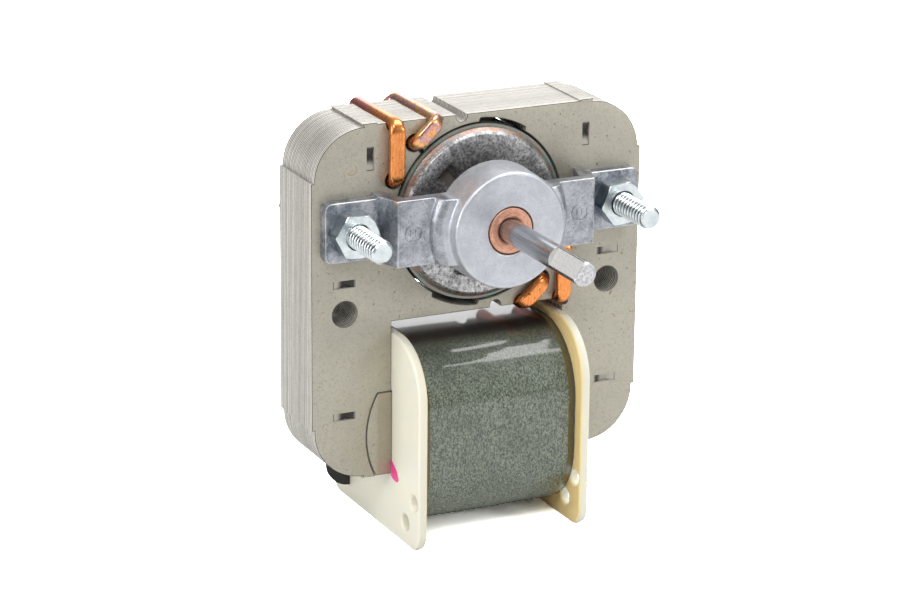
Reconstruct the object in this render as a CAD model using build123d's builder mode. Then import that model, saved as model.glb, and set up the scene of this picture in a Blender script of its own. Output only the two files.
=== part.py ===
from build123d import *
import os
from math import cos, radians, sin

# Shaded-pole C-frame fan motor. Millimetres. +Z up, the output shaft points along -Y.
# The origin is on the shaft axis, in the plane of the two clamp nuts' outer faces,
# which is where the motor is fastened.

# ---- Driving dimensions -------------------------------------------------------------
# Lamination stack
LAMINATION = 0.508
LAMINATIONS = 26
STACK_LENGTH = LAMINATION * LAMINATIONS
FOOT_THICKNESS = 2.3
NUT_THICKNESS = 3.2
STACK_FRONT = FOOT_THICKNESS + NUT_THICKNESS
STACK_BACK = STACK_FRONT + STACK_LENGTH
STACK_MIDDLE = (STACK_FRONT + STACK_BACK) / 2
HALF_WIDTH = 30.0
CORNER_INSET = 0.5
CORNER_RADIUS = 8.8
SIDE_LAND_TOP = 8.07
SIDE_LAND_BOTTOM = -34.1
TOP_EDGE = 16.9
BOTTOM_EDGE = -43.55
LAND_BUMP = 0.22
LAND_BUMP_INNER = 18.35
LAND_BUMP_OUTER = 20.95
LAND_DEPTH = 4.0
CORNER_DROP = 0.3
BORE_RADIUS = 15.28
BORE_STEP_RADIUS = 15.95
BORE_STEP_START = 58.0
BORE_STEP_ARC = 32.0
WINDOW_HALF_WIDTH = 15.71
WINDOW_TOP = -16.9
GROOVE_X = -3.3
GROOVE_RADIUS = 1.0
GROOVE_SINK = 0.25
SMALL_HOLE_X = 24.1
SMALL_HOLE_Z = -14.6
SMALL_HOLE_RADIUS = 2.2
STUD_PITCH = 48.1
STUD_RADIUS = 2.0
STUD_CORE_RADIUS = 1.75
STUD_HOLE_RADIUS = 2.2
OVERCUT = 1.0

# Core bar that closes the lower side of the frame, with bulging ends
CORE_TOP = -29.1
CORE_CORNER_X = 18.15
CORE_BULGE_X = 20.15
CORE_FOOT_GROWTH = 0.3
CORE_GAP = 0.08

# Shading rings: round copper wire through a hole, over an edge and back
WIRE_RADIUS = 1.2
WIRE_STAND_OFF = 1.22
WIRE_REAR_STAND_OFF = 2.3
WIRE_BEND = 1.25
WIRE_HOLE_RADIUS = 1.48
WIRE_HOLE_SLIT = 0.7
WIRE_SLIT_LENGTH = 2.4
WIRE_NOTCH_HALF_WIDTH = 1.45
WIRE_NOTCH_DEPTH = 1.6
WIRE_NOTCH_OPENING = 1.2
WIRE_NOTCH_GAP = 0.05
OUTER_RING_HOLE = (-15.45, 7.15)
OUTER_RING_TOP_X = -15.35
INNER_RING_HOLE = (-11.8, 13.0)
INNER_RING_TOP_X = -8.15

# Bobbin and coil; the coil's axis is along X
COIL_CENTRE_Z = (CORE_TOP + BOTTOM_EDGE) / 2
FLANGE_DEPTH = 35.3
FLANGE_TOP = -18.9
FLANGE_BOTTOM = -54.2
FLANGE_THICKNESS = 1.6
FLANGE_OUTER_X = WINDOW_HALF_WIDTH - 0.01
FLANGE_INNER_X = FLANGE_OUTER_X - FLANGE_THICKNESS
FLANGE_TOP_RADIUS = 9.7
FLANGE_FOOT_RADIUS = 3.0
FLANGE_FOOT_CHAMFER = 0.2
TUBE_WALL = 1.0
TUBE_FIT = 0.05
TUBE_CORNER = 0.8
FLANGE_HOLES = ((15.6, -45.85), (12.3, -50.3))
FLANGE_HOLE_RADIUS = 1.4
COIL_DEPTH = 31.5
COIL_HEIGHT = 32.8
COIL_CORNER = 12.0
FILM = 0.15
FILM_END_GAP = 0.05
PAPER = 0.35
PAPER_SHORTFALL = 1.0

# Bearing brackets, measured outwards from the face of the stack
FOOT_END_X = 28.5
FOOT_HALF_HEIGHT = 5.1
FOOT_CORNER = 1.2
WEB_FOOT_X = 19.4
ARM_END_X = 17.8
ARM_HALF_HEIGHT = 5.6
ARM_CORNER = 1.1
ARM_FRONT = 7.0
ARM_BACK = 4.8
WEB_INNER_FOOT_X = 17.5
WEB_INNER_ARM_X = 16.0
BOSS_FRONT = 12.05
BOSS_RADIUS = 9.8
BOSS_ROOT_RADIUS = 10.1
BOSS_EDGE = 0.35
BOSS_FLARE = 2.4
BOSS_FLARE_OVERLAP = 0.1
BOSS_WALL = 1.45
BOSS_CAVITY_RADIUS = 7.9
BOSS_HOLE_RADIUS = 4.05
SEAT_CHAMFER = 0.55

# Bearings and what holds and oils them
BEARING_SPHERE = 5.3
BEARING_CENTRE = 7.6
BEARING_BACK = 4.9
BEARING_NOSE_RADIUS = 3.85
BEARING_FACE = 12.0
BEARING_BORE_RADIUS = 2.03
BEARING_BORE_CHAMFER = 0.15
FELT_INNER = 5.45
FELT_OUTER = 7.7
FELT_FRONT = 10.3
FELT_BACK = 5.75
CLIP_INNER = 5.0
CLIP_OUTER = 7.86
CLIP_FRONT = 5.6
CLIP_BACK = 5.2
CLIP_FINGERS = 8
CLIP_SLOT_LENGTH = 2.0
CLIP_SLOT_WIDTH = 0.7
CLIP_SLOT_REACH = 0.6

# Rotor and shaft
ROTOR_RADIUS = 14.95
CAGE_RADIUS = 13.6
CAGE_ROOT_RADIUS = 14.4
CAGE_INNER_RADIUS = 6.5
CAGE_DEPTH = 1.3
CAGE_RIM_HEIGHT = 0.3
CAGE_NOTCH_DEPTH = 0.9
CAGE_NOTCH_RADIUS = 9.75
CAGE_NOTCH_WIDTH = 2.0
CAGE_NOTCH_ANGLES = (131.8, 251.8, 11.8)
CAGE_BARS = 17
CAGE_BAR_RADIUS = 0.95
CAGE_BAR_CIRCLE = 13.2
SHAFT_RADIUS = 2.0
SHAFT_TIP = 37.8
SHAFT_TAIL = 11.3
SHAFT_CHAMFER = 0.35
# Oil-stop groove in the bearing's mouth
OIL_GROOVE_RADIUS = 1.8
OIL_GROOVE_FRONT = 12.05
OIL_GROOVE_WIDTH = 0.65
FLAT_START = 28.9
FLAT_DISTANCE = 1.15
FLAT_ANGLE = 146.4
SPACER_RADIUS = 3.0
WASHER_RADIUS = 3.4
WASHER_THICKNESS = 0.5
END_PLAY = 0.08

# Studs and nuts
STUD_FRONT = 15.0
STUD_BACK = 7.0
STUD_CHAMFER = 0.4
NUT_ACROSS_CORNERS = 8.08
NUT_BEVEL = 0.45
NUT_BEVEL_HEIGHT = 0.3
LEFT_NUT_TURN = -3.0
RIGHT_NUT_TURN = 7.0
REAR_NUT_TURN = 12.0

# Terminal block on the left flange, behind the stack: a guard plate with a body behind it
BLOCK_OUTER_X = -20.0
BLOCK_BODY_X = -19.3
GUARD_THICKNESS = 0.6
BLOCK_FRONT = 16.8
BLOCK_BACK = 24.0
BLOCK_TOP = -33.0
BLOCK_BODY_BOTTOM = -46.0
BLOCK_BOTTOM = -51.4
BLOCK_CORNER = 4.2
BLOCK_TOP_CORNER = 1.0
TAB_LENGTH = 7.5
TAB_ROOT = 5.0
TAB_WIDTH = 4.8
TAB_THICKNESS = 0.8
TAB_CORNER = 0.9
TAB_X = -17.9
TAB_HEIGHTS = (-36.3, -42.6)
TAB_HOLE_RADIUS = 0.8
TAB_HOLE_SHARE = 0.6
LEAD_RADIUS = 0.35
LEAD_CLEARANCE = 0.1
LEAD_DEPTH = 20.0

os.makedirs("parts", exist_ok=True)


def across(y):
    """The plane square to the shaft at y: its own x is X and its own y is Z."""
    return Plane.XZ.offset(-y)


def ahead(distance):
    """The y of a point that stands this far in front of the stack."""
    return STACK_FRONT - distance


REAR = Plane.XZ.offset(-STACK_MIDDLE)
TURNED_HALF_ROUND = ((1, 1), (-1, -1))
RING_TOP_Z = TOP_EDGE - WIRE_NOTCH_DEPTH + WIRE_RADIUS + WIRE_NOTCH_GAP


# ---- Frame: yoke and core bar -------------------------------------------------------
def core_outline(gap):
    """Outline of the core bar, grown by gap: flat top and foot, ends bulging outwards."""
    middle = (CORE_TOP + BOTTOM_EDGE) / 2
    top = CORE_TOP + gap
    foot = BOTTOM_EDGE - gap
    corner = CORE_CORNER_X + gap
    foot_corner = corner + CORE_FOOT_GROWTH
    bulge = CORE_BULGE_X + gap
    with BuildLine() as outline:
        Line((-corner, top), (corner, top))
        ThreePointArc((corner, top), (bulge, middle), (foot_corner, foot))
        Line((foot_corner, foot), (-foot_corner, foot))
        ThreePointArc((-foot_corner, foot), (-bulge, middle), (-corner, top))
    return outline.line


with BuildPart() as yoke:
    with BuildSketch(across(STACK_FRONT)):
        # Body with four round corners, then the proud lands on its four sides
        body_top = TOP_EDGE - CORNER_DROP
        body_foot = BOTTOM_EDGE + CORNER_DROP
        with Locations((0, (body_top + body_foot) / 2)):
            RectangleRounded(2 * (HALF_WIDTH - CORNER_INSET), body_top - body_foot, CORNER_RADIUS)
        with Locations((0, (SIDE_LAND_TOP + SIDE_LAND_BOTTOM) / 2)):
            Rectangle(2 * HALF_WIDTH, SIDE_LAND_TOP - SIDE_LAND_BOTTOM)
        with Locations(
            (0, TOP_EDGE + LAND_BUMP - LAND_DEPTH / 2), (0, BOTTOM_EDGE + LAND_DEPTH / 2)
        ):
            Rectangle(2 * LAND_BUMP_OUTER, LAND_DEPTH)
        with Locations((0, TOP_EDGE + OVERCUT)):
            Rectangle(2 * LAND_BUMP_INNER, 2 * OVERCUT, mode=Mode.SUBTRACT)
        Circle(BORE_RADIUS, mode=Mode.SUBTRACT)
        with Locations((0, (WINDOW_TOP + CORE_TOP) / 2)):
            Rectangle(2 * WINDOW_HALF_WIDTH, WINDOW_TOP - CORE_TOP, mode=Mode.SUBTRACT)
        make_face(core_outline(CORE_GAP).edges(), mode=Mode.SUBTRACT)
        with Locations((-SMALL_HOLE_X, SMALL_HOLE_Z), (SMALL_HOLE_X, SMALL_HOLE_Z)):
            Circle(SMALL_HOLE_RADIUS, mode=Mode.SUBTRACT)
        with Locations((-STUD_PITCH / 2, 0), (STUD_PITCH / 2, 0)):
            Circle(STUD_HOLE_RADIUS, mode=Mode.SUBTRACT)
        # What follows is the same again, turned half round about the shaft
        for sx, sz in TURNED_HALF_ROUND:
            half_turn = 0 if sx > 0 else 180
            with BuildLine():
                start = BORE_STEP_START + half_turn
                step = CenterArc((0, 0), BORE_STEP_RADIUS, start, BORE_STEP_ARC)
                Line(step @ 0, (0, 0))
                Line(step @ 1, (0, 0))
            make_face(mode=Mode.SUBTRACT)
            groove_centre = TOP_EDGE - GROOVE_SINK
            with Locations((sx * GROOVE_X, sz * groove_centre)):
                Circle(GROOVE_RADIUS, mode=Mode.SUBTRACT)
            with Locations((sx * GROOVE_X, sz * (groove_centre + OVERCUT))):
                Rectangle(2 * GROOVE_RADIUS, 2 * OVERCUT, mode=Mode.SUBTRACT)
            for hole in (OUTER_RING_HOLE, INNER_RING_HOLE):
                place = Vector(sx * hole[0], sz * hole[1])
                with Locations(place):
                    Circle(WIRE_HOLE_RADIUS, mode=Mode.SUBTRACT)
                inwards = place.normalized() * -1
                slit_angle = Vector(1, 0).get_signed_angle(inwards)
                with Locations(place + inwards * (WIRE_SLIT_LENGTH / 2)):
                    Rectangle(
                        WIRE_SLIT_LENGTH, WIRE_HOLE_SLIT, rotation=slit_angle, mode=Mode.SUBTRACT
                    )
            notch_centre = TOP_EDGE - WIRE_NOTCH_DEPTH + WIRE_NOTCH_HALF_WIDTH
            for x in (OUTER_RING_TOP_X, INNER_RING_TOP_X):
                with Locations((sx * x, sz * notch_centre)):
                    Circle(WIRE_NOTCH_HALF_WIDTH, mode=Mode.SUBTRACT)
                with Locations((sx * x, sz * (notch_centre + WIRE_NOTCH_OPENING / 2))):
                    Rectangle(
                        2 * WIRE_NOTCH_HALF_WIDTH, WIRE_NOTCH_OPENING, mode=Mode.SUBTRACT
                    )
    extrude(amount=-STACK_LENGTH)
yoke.part.label = "yoke_laminations"
export_step(yoke.part, "parts/yoke_laminations.step")

with BuildPart() as core_bar:
    with BuildSketch(across(STACK_FRONT)):
        make_face(core_outline(0).edges())
    extrude(amount=-STACK_LENGTH)
core_bar.part.label = "core_bar_laminations"
export_step(core_bar.part, "parts/core_bar_laminations.step")


# ---- Shading rings ------------------------------------------------------------------
def shading_ring(hole, top_x, sx, sz):
    """One closed ring: through its hole, up both faces of the stack and over the edge."""
    front = STACK_FRONT - WIRE_STAND_OFF
    back = STACK_BACK + WIRE_REAR_STAND_OFF
    low = (sx * hole[0], sz * hole[1])
    high = (sx * top_x, sz * RING_TOP_Z)
    corners = [
        (low[0], front, low[1]),
        (high[0], front, high[1]),
        (high[0], back, high[1]),
        (low[0], back, low[1]),
    ]
    with BuildPart() as ring:
        with BuildLine() as path:
            FilletPolyline(*corners, radius=WIRE_BEND, close=True)
        with BuildSketch(Plane(origin=path.line @ 0, z_dir=path.line % 0)):
            Circle(WIRE_RADIUS)
        sweep(path=path.line)
    return ring


RINGS = {
    "shading_ring_left_outer": (OUTER_RING_HOLE, OUTER_RING_TOP_X, 1, 1),
    "shading_ring_left_inner": (INNER_RING_HOLE, INNER_RING_TOP_X, 1, 1),
    "shading_ring_right_inner": (INNER_RING_HOLE, INNER_RING_TOP_X, -1, -1),
    "shading_ring_right_outer": (OUTER_RING_HOLE, OUTER_RING_TOP_X, -1, -1),
}
for name, (hole, top_x, sx, sz) in RINGS.items():
    ring = shading_ring(hole, top_x, sx, sz)
    ring.part.label = name
    export_step(ring.part, f"parts/{name}.step")


# ---- Bobbin and coil ----------------------------------------------------------------
TUBE_DEPTH = STACK_LENGTH + 2 * (TUBE_FIT + TUBE_WALL)
TUBE_HEIGHT = CORE_TOP - BOTTOM_EDGE + 2 * (TUBE_FIT + TUBE_WALL)
COIL_CENTRE = (STACK_MIDDLE, COIL_CENTRE_Z)


def along(x):
    """The plane square to the coil's axis at x: its own x is Y and its own y is Z."""
    return Plane.YZ.offset(x)


with BuildPart() as bobbin:
    for flange_x in (-FLANGE_OUTER_X, FLANGE_INNER_X):
        with BuildSketch(along(flange_x)) as flange:
            with Locations((STACK_MIDDLE, (FLANGE_TOP + FLANGE_BOTTOM) / 2)):
                Rectangle(FLANGE_DEPTH, FLANGE_TOP - FLANGE_BOTTOM)
            fillet(flange.vertices().group_by(Axis.Y)[-1], FLANGE_TOP_RADIUS)
            fillet(flange.vertices().group_by(Axis.Y)[0], FLANGE_FOOT_RADIUS)
            for out, z in FLANGE_HOLES:
                with Locations((STACK_MIDDLE - out, z)):
                    Circle(FLANGE_HOLE_RADIUS, mode=Mode.SUBTRACT)
        extrude(amount=FLANGE_THICKNESS)
    with BuildSketch(along(-FLANGE_INNER_X)):
        with Locations(COIL_CENTRE):
            RectangleRounded(TUBE_DEPTH, TUBE_HEIGHT, TUBE_CORNER)
    extrude(amount=2 * FLANGE_INNER_X)
    with BuildSketch(along(-FLANGE_OUTER_X)):
        with Locations(COIL_CENTRE):
            Rectangle(TUBE_DEPTH - 2 * TUBE_WALL, TUBE_HEIGHT - 2 * TUBE_WALL)
    extrude(amount=2 * FLANGE_OUTER_X, mode=Mode.SUBTRACT)
    # Holes for the two ends of the winding
    with BuildSketch(along(-FLANGE_OUTER_X)):
        with Locations(*[(STACK_FRONT + LEAD_DEPTH, z) for z in TAB_HEIGHTS]):
            Circle(LEAD_RADIUS + LEAD_CLEARANCE)
    extrude(amount=FLANGE_THICKNESS, mode=Mode.SUBTRACT)
    foot_edges = bobbin.edges().filter_by(GeomType.LINE).group_by(Axis.Z)[0]
    chamfer(foot_edges, FLANGE_FOOT_CHAMFER)
bobbin.part.label = "bobbin"
export_step(bobbin.part, "parts/bobbin.step")


def coil_layer(half_length, outer_inset, thickness):
    """A closed band round the coil, outer_inset under its surface, thickness thick."""
    with BuildPart() as layer:
        with BuildSketch(along(-half_length)):
            with Locations(COIL_CENTRE):
                RectangleRounded(
                    COIL_DEPTH - 2 * outer_inset,
                    COIL_HEIGHT - 2 * outer_inset,
                    COIL_CORNER - outer_inset,
                )
                inner_inset = outer_inset + thickness
                RectangleRounded(
                    COIL_DEPTH - 2 * inner_inset,
                    COIL_HEIGHT - 2 * inner_inset,
                    COIL_CORNER - inner_inset,
                    mode=Mode.SUBTRACT,
                )
        extrude(amount=2 * half_length)
    return layer


film = coil_layer(FLANGE_INNER_X - FILM_END_GAP, 0, FILM)
film.part.label = "coil_film"
export_step(film.part, "parts/coil_film.step")

paper = coil_layer(FLANGE_INNER_X - PAPER_SHORTFALL, FILM, PAPER)
paper.part.label = "coil_paper"
export_step(paper.part, "parts/coil_paper.step")

with BuildPart() as winding:
    with BuildSketch(along(-FLANGE_INNER_X)):
        with Locations(COIL_CENTRE):
            under = FILM + PAPER
            RectangleRounded(
                COIL_DEPTH - 2 * under,
                COIL_HEIGHT - 2 * under,
                COIL_CORNER - under,
            )
            RectangleRounded(TUBE_DEPTH, TUBE_HEIGHT, TUBE_CORNER, mode=Mode.SUBTRACT)
    extrude(amount=2 * FLANGE_INNER_X)
winding.part.label = "winding"
export_step(winding.part, "parts/winding.step")


# ---- Bearing brackets ---------------------------------------------------------------
with BuildPart() as bracket:
    # Bar seen from above: two feet on the stack, webs, and the raised arm between them
    with BuildSketch(Plane.XY):
        with BuildLine():
            right_side = [
                (0, ahead(ARM_FRONT)),
                (ARM_END_X, ahead(ARM_FRONT)),
                (WEB_FOOT_X, ahead(FOOT_THICKNESS)),
                (FOOT_END_X, ahead(FOOT_THICKNESS)),
                (FOOT_END_X, STACK_FRONT),
                (WEB_INNER_FOOT_X, STACK_FRONT),
                (WEB_INNER_ARM_X, ahead(ARM_BACK)),
                (0, ahead(ARM_BACK)),
            ]
            Polyline(*right_side)
            mirror(about=Plane.YZ)
        make_face()
    extrude(amount=ARM_HALF_HEIGHT, both=True)
    # The feet are a little lower than the arm
    with BuildSketch(across(-BOSS_FRONT)):
        for side in (-1, 1):
            foot_middle = side * (WEB_FOOT_X + FOOT_END_X + OVERCUT) / 2
            for edge in (-1, 1):
                with Locations((foot_middle, edge * (FOOT_HALF_HEIGHT + OVERCUT))):
                    Rectangle(FOOT_END_X + OVERCUT - WEB_FOOT_X, 2 * OVERCUT)
    extrude(amount=-(STACK_FRONT + BOSS_FRONT), mode=Mode.SUBTRACT)
    fillet(bracket.edges().filter_by(Axis.Y).group_by(Axis.X)[0], FOOT_CORNER)
    fillet(bracket.edges().filter_by(Axis.Y).group_by(Axis.X)[-1], FOOT_CORNER)
    # Boss: slightly tapered drum, with a flare where it meets the arm
    with BuildSketch(Plane.XY):
        with BuildLine():
            Polyline(
                (0, ahead(ARM_BACK)),
                (BOSS_ROOT_RADIUS, ahead(ARM_BACK)),
                (BOSS_RADIUS, ahead(BOSS_FRONT - BOSS_EDGE)),
                (BOSS_RADIUS - BOSS_EDGE, ahead(BOSS_FRONT)),
                (0, ahead(BOSS_FRONT)),
                close=True,
            )
        make_face()
    revolve(axis=Axis.Y)
    with BuildPart(mode=Mode.PRIVATE) as flare:
        with BuildSketch(Plane.XY):
            with BuildLine():
                root = BOSS_ROOT_RADIUS - BOSS_FLARE_OVERLAP
                arc = RadiusArc(
                    (root, ahead(ARM_FRONT + BOSS_FLARE)),
                    (root + BOSS_FLARE, ahead(ARM_FRONT)),
                    -BOSS_FLARE,
                )
                inside = root - OVERCUT
                Line(arc @ 1, (inside, ahead(ARM_FRONT)))
                Line((inside, ahead(ARM_FRONT)), (inside, ahead(ARM_FRONT + BOSS_FLARE)))
                Line((inside, ahead(ARM_FRONT + BOSS_FLARE)), arc @ 0)
            make_face()
        revolve(axis=Axis.Y)
        Box(4 * BOSS_RADIUS, 4 * BOSS_RADIUS, 2 * ARM_HALF_HEIGHT, mode=Mode.INTERSECT)
    add(flare.part)
    # Oil-felt chamber, open towards the rotor, and the bearing's hole with its seat
    with BuildSketch(Plane.XY):
        with BuildLine():
            wall = BOSS_FRONT - BOSS_WALL
            Polyline(
                (0, ahead(ARM_BACK - OVERCUT)),
                (BOSS_CAVITY_RADIUS, ahead(ARM_BACK - OVERCUT)),
                (BOSS_CAVITY_RADIUS, ahead(wall)),
                (BOSS_HOLE_RADIUS + SEAT_CHAMFER, ahead(wall)),
                (BOSS_HOLE_RADIUS, ahead(wall + SEAT_CHAMFER)),
                (BOSS_HOLE_RADIUS, ahead(BOSS_FRONT + OVERCUT)),
                (0, ahead(BOSS_FRONT + OVERCUT)),
                close=True,
            )
        make_face()
    revolve(axis=Axis.Y, mode=Mode.SUBTRACT)
    with BuildSketch(across(ahead(BOSS_FRONT))):
        with Locations((-STUD_PITCH / 2, 0), (STUD_PITCH / 2, 0)):
            Circle(STUD_HOLE_RADIUS)
    extrude(amount=-BOSS_FRONT, mode=Mode.SUBTRACT)
bracket.part.label = "front_bracket"
export_step(bracket.part, "parts/front_bracket.step")

with BuildPart() as bearing:
    with BuildSketch(Plane.XY):
        with BuildLine():
            back_drop = BEARING_CENTRE - BEARING_BACK
            back_radius = (BEARING_SPHERE**2 - back_drop**2) ** 0.5
            nose_rise = (BEARING_SPHERE**2 - BEARING_NOSE_RADIUS**2) ** 0.5
            mouth = BEARING_BORE_RADIUS + BEARING_BORE_CHAMFER
            ball = ThreePointArc(
                (back_radius, ahead(BEARING_BACK)),
                (BEARING_SPHERE, ahead(BEARING_CENTRE)),
                (BEARING_NOSE_RADIUS, ahead(BEARING_CENTRE + nose_rise)),
            )
            Polyline(
                ball @ 1,
                (BEARING_NOSE_RADIUS, ahead(BEARING_FACE)),
                (mouth, ahead(BEARING_FACE)),
                (BEARING_BORE_RADIUS, ahead(BEARING_FACE - BEARING_BORE_CHAMFER)),
                (BEARING_BORE_RADIUS, ahead(BEARING_BACK)),
                ball @ 0,
            )
        make_face()
    revolve(axis=Axis.Y)
bearing.part.label = "front_bearing"
export_step(bearing.part, "parts/front_bearing.step")

with BuildPart() as felt:
    with BuildSketch(across(ahead(FELT_FRONT))):
        Circle(FELT_OUTER)
        Circle(FELT_INNER, mode=Mode.SUBTRACT)
    extrude(amount=-(FELT_FRONT - FELT_BACK))
felt.part.label = "front_oil_felt"
export_step(felt.part, "parts/front_oil_felt.step")

with BuildPart() as clip:
    with BuildSketch(across(ahead(CLIP_FRONT))):
        Circle(CLIP_OUTER)
        Circle(CLIP_INNER, mode=Mode.SUBTRACT)
        with PolarLocations(CLIP_INNER + CLIP_SLOT_REACH, CLIP_FINGERS):
            Rectangle(CLIP_SLOT_LENGTH, CLIP_SLOT_WIDTH, mode=Mode.SUBTRACT)
    extrude(amount=-(CLIP_FRONT - CLIP_BACK))
clip.part.label = "front_bearing_clip"
export_step(clip.part, "parts/front_bearing_clip.step")

# The rear bearing set is the front one, handed about the middle of the stack
REAR_COPIES = {
    "rear_bracket": bracket,
    "rear_bearing": bearing,
    "rear_oil_felt": felt,
    "rear_bearing_clip": clip,
}
for name, front in REAR_COPIES.items():
    with BuildPart() as rear:
        mirror(front.part, about=REAR)
    rear.part.label = name
    export_step(rear.part, f"parts/{name}.step")


# ---- Rotor and shaft ----------------------------------------------------------------
with BuildPart() as rotor_core:
    with BuildSketch(across(STACK_FRONT)):
        Circle(ROTOR_RADIUS)
        Circle(SHAFT_RADIUS, mode=Mode.SUBTRACT)
        with PolarLocations(CAGE_BAR_CIRCLE, CAGE_BARS):
            Circle(CAGE_BAR_RADIUS, mode=Mode.SUBTRACT)
    extrude(amount=-STACK_LENGTH)
rotor_core.part.label = "rotor_core"
export_step(rotor_core.part, "parts/rotor_core.step")

with BuildPart() as cage:
    # Front end ring with its bevelled rim and three casting notches
    with BuildSketch(Plane.XY):
        with BuildLine():
            Polyline(
                (CAGE_INNER_RADIUS, STACK_FRONT),
                (CAGE_ROOT_RADIUS, STACK_FRONT),
                (CAGE_ROOT_RADIUS, ahead(CAGE_RIM_HEIGHT)),
                (CAGE_RADIUS, ahead(CAGE_DEPTH)),
                (CAGE_INNER_RADIUS, ahead(CAGE_DEPTH)),
                close=True,
            )
        make_face()
    revolve(axis=Axis.Y)
    with BuildSketch(across(ahead(CAGE_DEPTH))):
        for angle in CAGE_NOTCH_ANGLES:
            reach = CAGE_NOTCH_RADIUS / 2
            place = (reach * cos(radians(angle)), reach * sin(radians(angle)))
            with Locations(place):
                Rectangle(CAGE_NOTCH_RADIUS, CAGE_NOTCH_WIDTH, rotation=angle)
    extrude(amount=-CAGE_NOTCH_DEPTH, mode=Mode.SUBTRACT)
    mirror(about=REAR)
    with BuildSketch(across(STACK_FRONT)):
        with PolarLocations(CAGE_BAR_CIRCLE, CAGE_BARS):
            Circle(CAGE_BAR_RADIUS)
    extrude(amount=-STACK_LENGTH)
cage.part.label = "rotor_cage"
export_step(cage.part, "parts/rotor_cage.step")

with BuildPart() as shaft:
    with BuildSketch(across(ahead(SHAFT_TIP))):
        Circle(SHAFT_RADIUS)
    extrude(amount=-(SHAFT_TIP + STACK_LENGTH + SHAFT_TAIL))
    chamfer(shaft.edges().group_by(Axis.Y)[0], SHAFT_CHAMFER)
    chamfer(shaft.edges().group_by(Axis.Y)[-1], SHAFT_CHAMFER)
    # Drive flat at the output end
    with BuildSketch(across(ahead(SHAFT_TIP + OVERCUT))):
        reach = FLAT_DISTANCE + SHAFT_RADIUS
        place = (reach * cos(radians(FLAT_ANGLE)), reach * sin(radians(FLAT_ANGLE)))
        with Locations(place):
            Rectangle(2 * SHAFT_RADIUS, 3 * SHAFT_RADIUS, rotation=FLAT_ANGLE)
    extrude(amount=-(SHAFT_TIP + OVERCUT - FLAT_START), mode=Mode.SUBTRACT)
    with BuildSketch(across(ahead(OIL_GROOVE_FRONT))):
        Circle(SHAFT_RADIUS + OVERCUT)
        Circle(OIL_GROOVE_RADIUS, mode=Mode.SUBTRACT)
    extrude(amount=-OIL_GROOVE_WIDTH, mode=Mode.SUBTRACT)
shaft.part.label = "shaft"
export_step(shaft.part, "parts/shaft.step")

with BuildPart() as spacer:
    spacer_front = BEARING_BACK - END_PLAY - WASHER_THICKNESS
    with BuildSketch(across(ahead(spacer_front))):
        Circle(SPACER_RADIUS)
        Circle(SHAFT_RADIUS, mode=Mode.SUBTRACT)
    extrude(amount=-spacer_front)
with BuildPart() as washer:
    with BuildSketch(across(ahead(BEARING_BACK - END_PLAY))):
        Circle(WASHER_RADIUS)
        Circle(SHAFT_RADIUS, mode=Mode.SUBTRACT)
    extrude(amount=-WASHER_THICKNESS)

for name, front in {"spacer": spacer, "thrust_washer": washer}.items():
    front.part.label = f"front_{name}"
    export_step(front.part, f"parts/front_{name}.step")
    with BuildPart() as rear:
        mirror(front.part, about=REAR)
    rear.part.label = f"rear_{name}"
    export_step(rear.part, f"parts/rear_{name}.step")


# ---- Studs and nuts -----------------------------------------------------------------
# A free end is as thick as its thread's crests; the shank and the thread in a nut are thinner
CLAMP_THICKNESS = FOOT_THICKNESS + NUT_THICKNESS
with BuildPart() as studs:
    for start, length, radius in (
        (ahead(STUD_FRONT), STUD_FRONT - CLAMP_THICKNESS, STUD_RADIUS),
        (ahead(CLAMP_THICKNESS), STACK_LENGTH + 2 * CLAMP_THICKNESS, STUD_CORE_RADIUS),
        (STACK_BACK + CLAMP_THICKNESS, STUD_BACK - CLAMP_THICKNESS, STUD_RADIUS),
    ):
        with BuildSketch(across(start)):
            with Locations((-STUD_PITCH / 2, 0), (STUD_PITCH / 2, 0)):
                Circle(radius)
        extrude(amount=-length)
    chamfer(studs.edges().group_by(Axis.Y)[0], STUD_CHAMFER)
    chamfer(studs.edges().group_by(Axis.Y)[-1], STUD_CHAMFER)
studs.part.label = "through_studs"
export_step(studs.part, "parts/through_studs.step")


def nut(x, turn, seat, direction):
    """A hexagon nut at x on the face y = seat; direction -1 faces forwards, 1 backwards."""
    corner = NUT_ACROSS_CORNERS / 2
    height = direction * NUT_THICKNESS
    with BuildPart() as one:
        with BuildSketch(across(seat)):
            RegularPolygon(corner, 6, rotation=turn)
            Circle(STUD_CORE_RADIUS, mode=Mode.SUBTRACT)
        extrude(amount=-height)
        # Both faces are bevelled down to the width across the flats
        with BuildSketch(Plane.XY):
            with BuildLine():
                Polyline(
                    (0, seat),
                    (corner - NUT_BEVEL, seat),
                    (corner, seat + direction * NUT_BEVEL_HEIGHT),
                    (corner, seat + height - direction * NUT_BEVEL_HEIGHT),
                    (corner - NUT_BEVEL, seat + height),
                    (0, seat + height),
                    close=True,
                )
            make_face()
        revolve(axis=Axis.Y, mode=Mode.INTERSECT)
    return Pos(x, 0, 0) * one.part


FRONT_SEAT = ahead(FOOT_THICKNESS)
REAR_SEAT = STACK_BACK + FOOT_THICKNESS
with BuildPart() as front_nuts:
    add(nut(-STUD_PITCH / 2, LEFT_NUT_TURN, FRONT_SEAT, -1))
    add(nut(STUD_PITCH / 2, RIGHT_NUT_TURN, FRONT_SEAT, -1))
front_nuts.part.label = "front_nuts"
export_step(front_nuts.part, "parts/front_nuts.step")

with BuildPart() as rear_nuts:
    add(nut(-STUD_PITCH / 2, REAR_NUT_TURN, REAR_SEAT, 1))
    add(nut(STUD_PITCH / 2, -REAR_NUT_TURN, REAR_SEAT, 1))
rear_nuts.part.label = "rear_nuts"
export_step(rear_nuts.part, "parts/rear_nuts.step")


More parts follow.
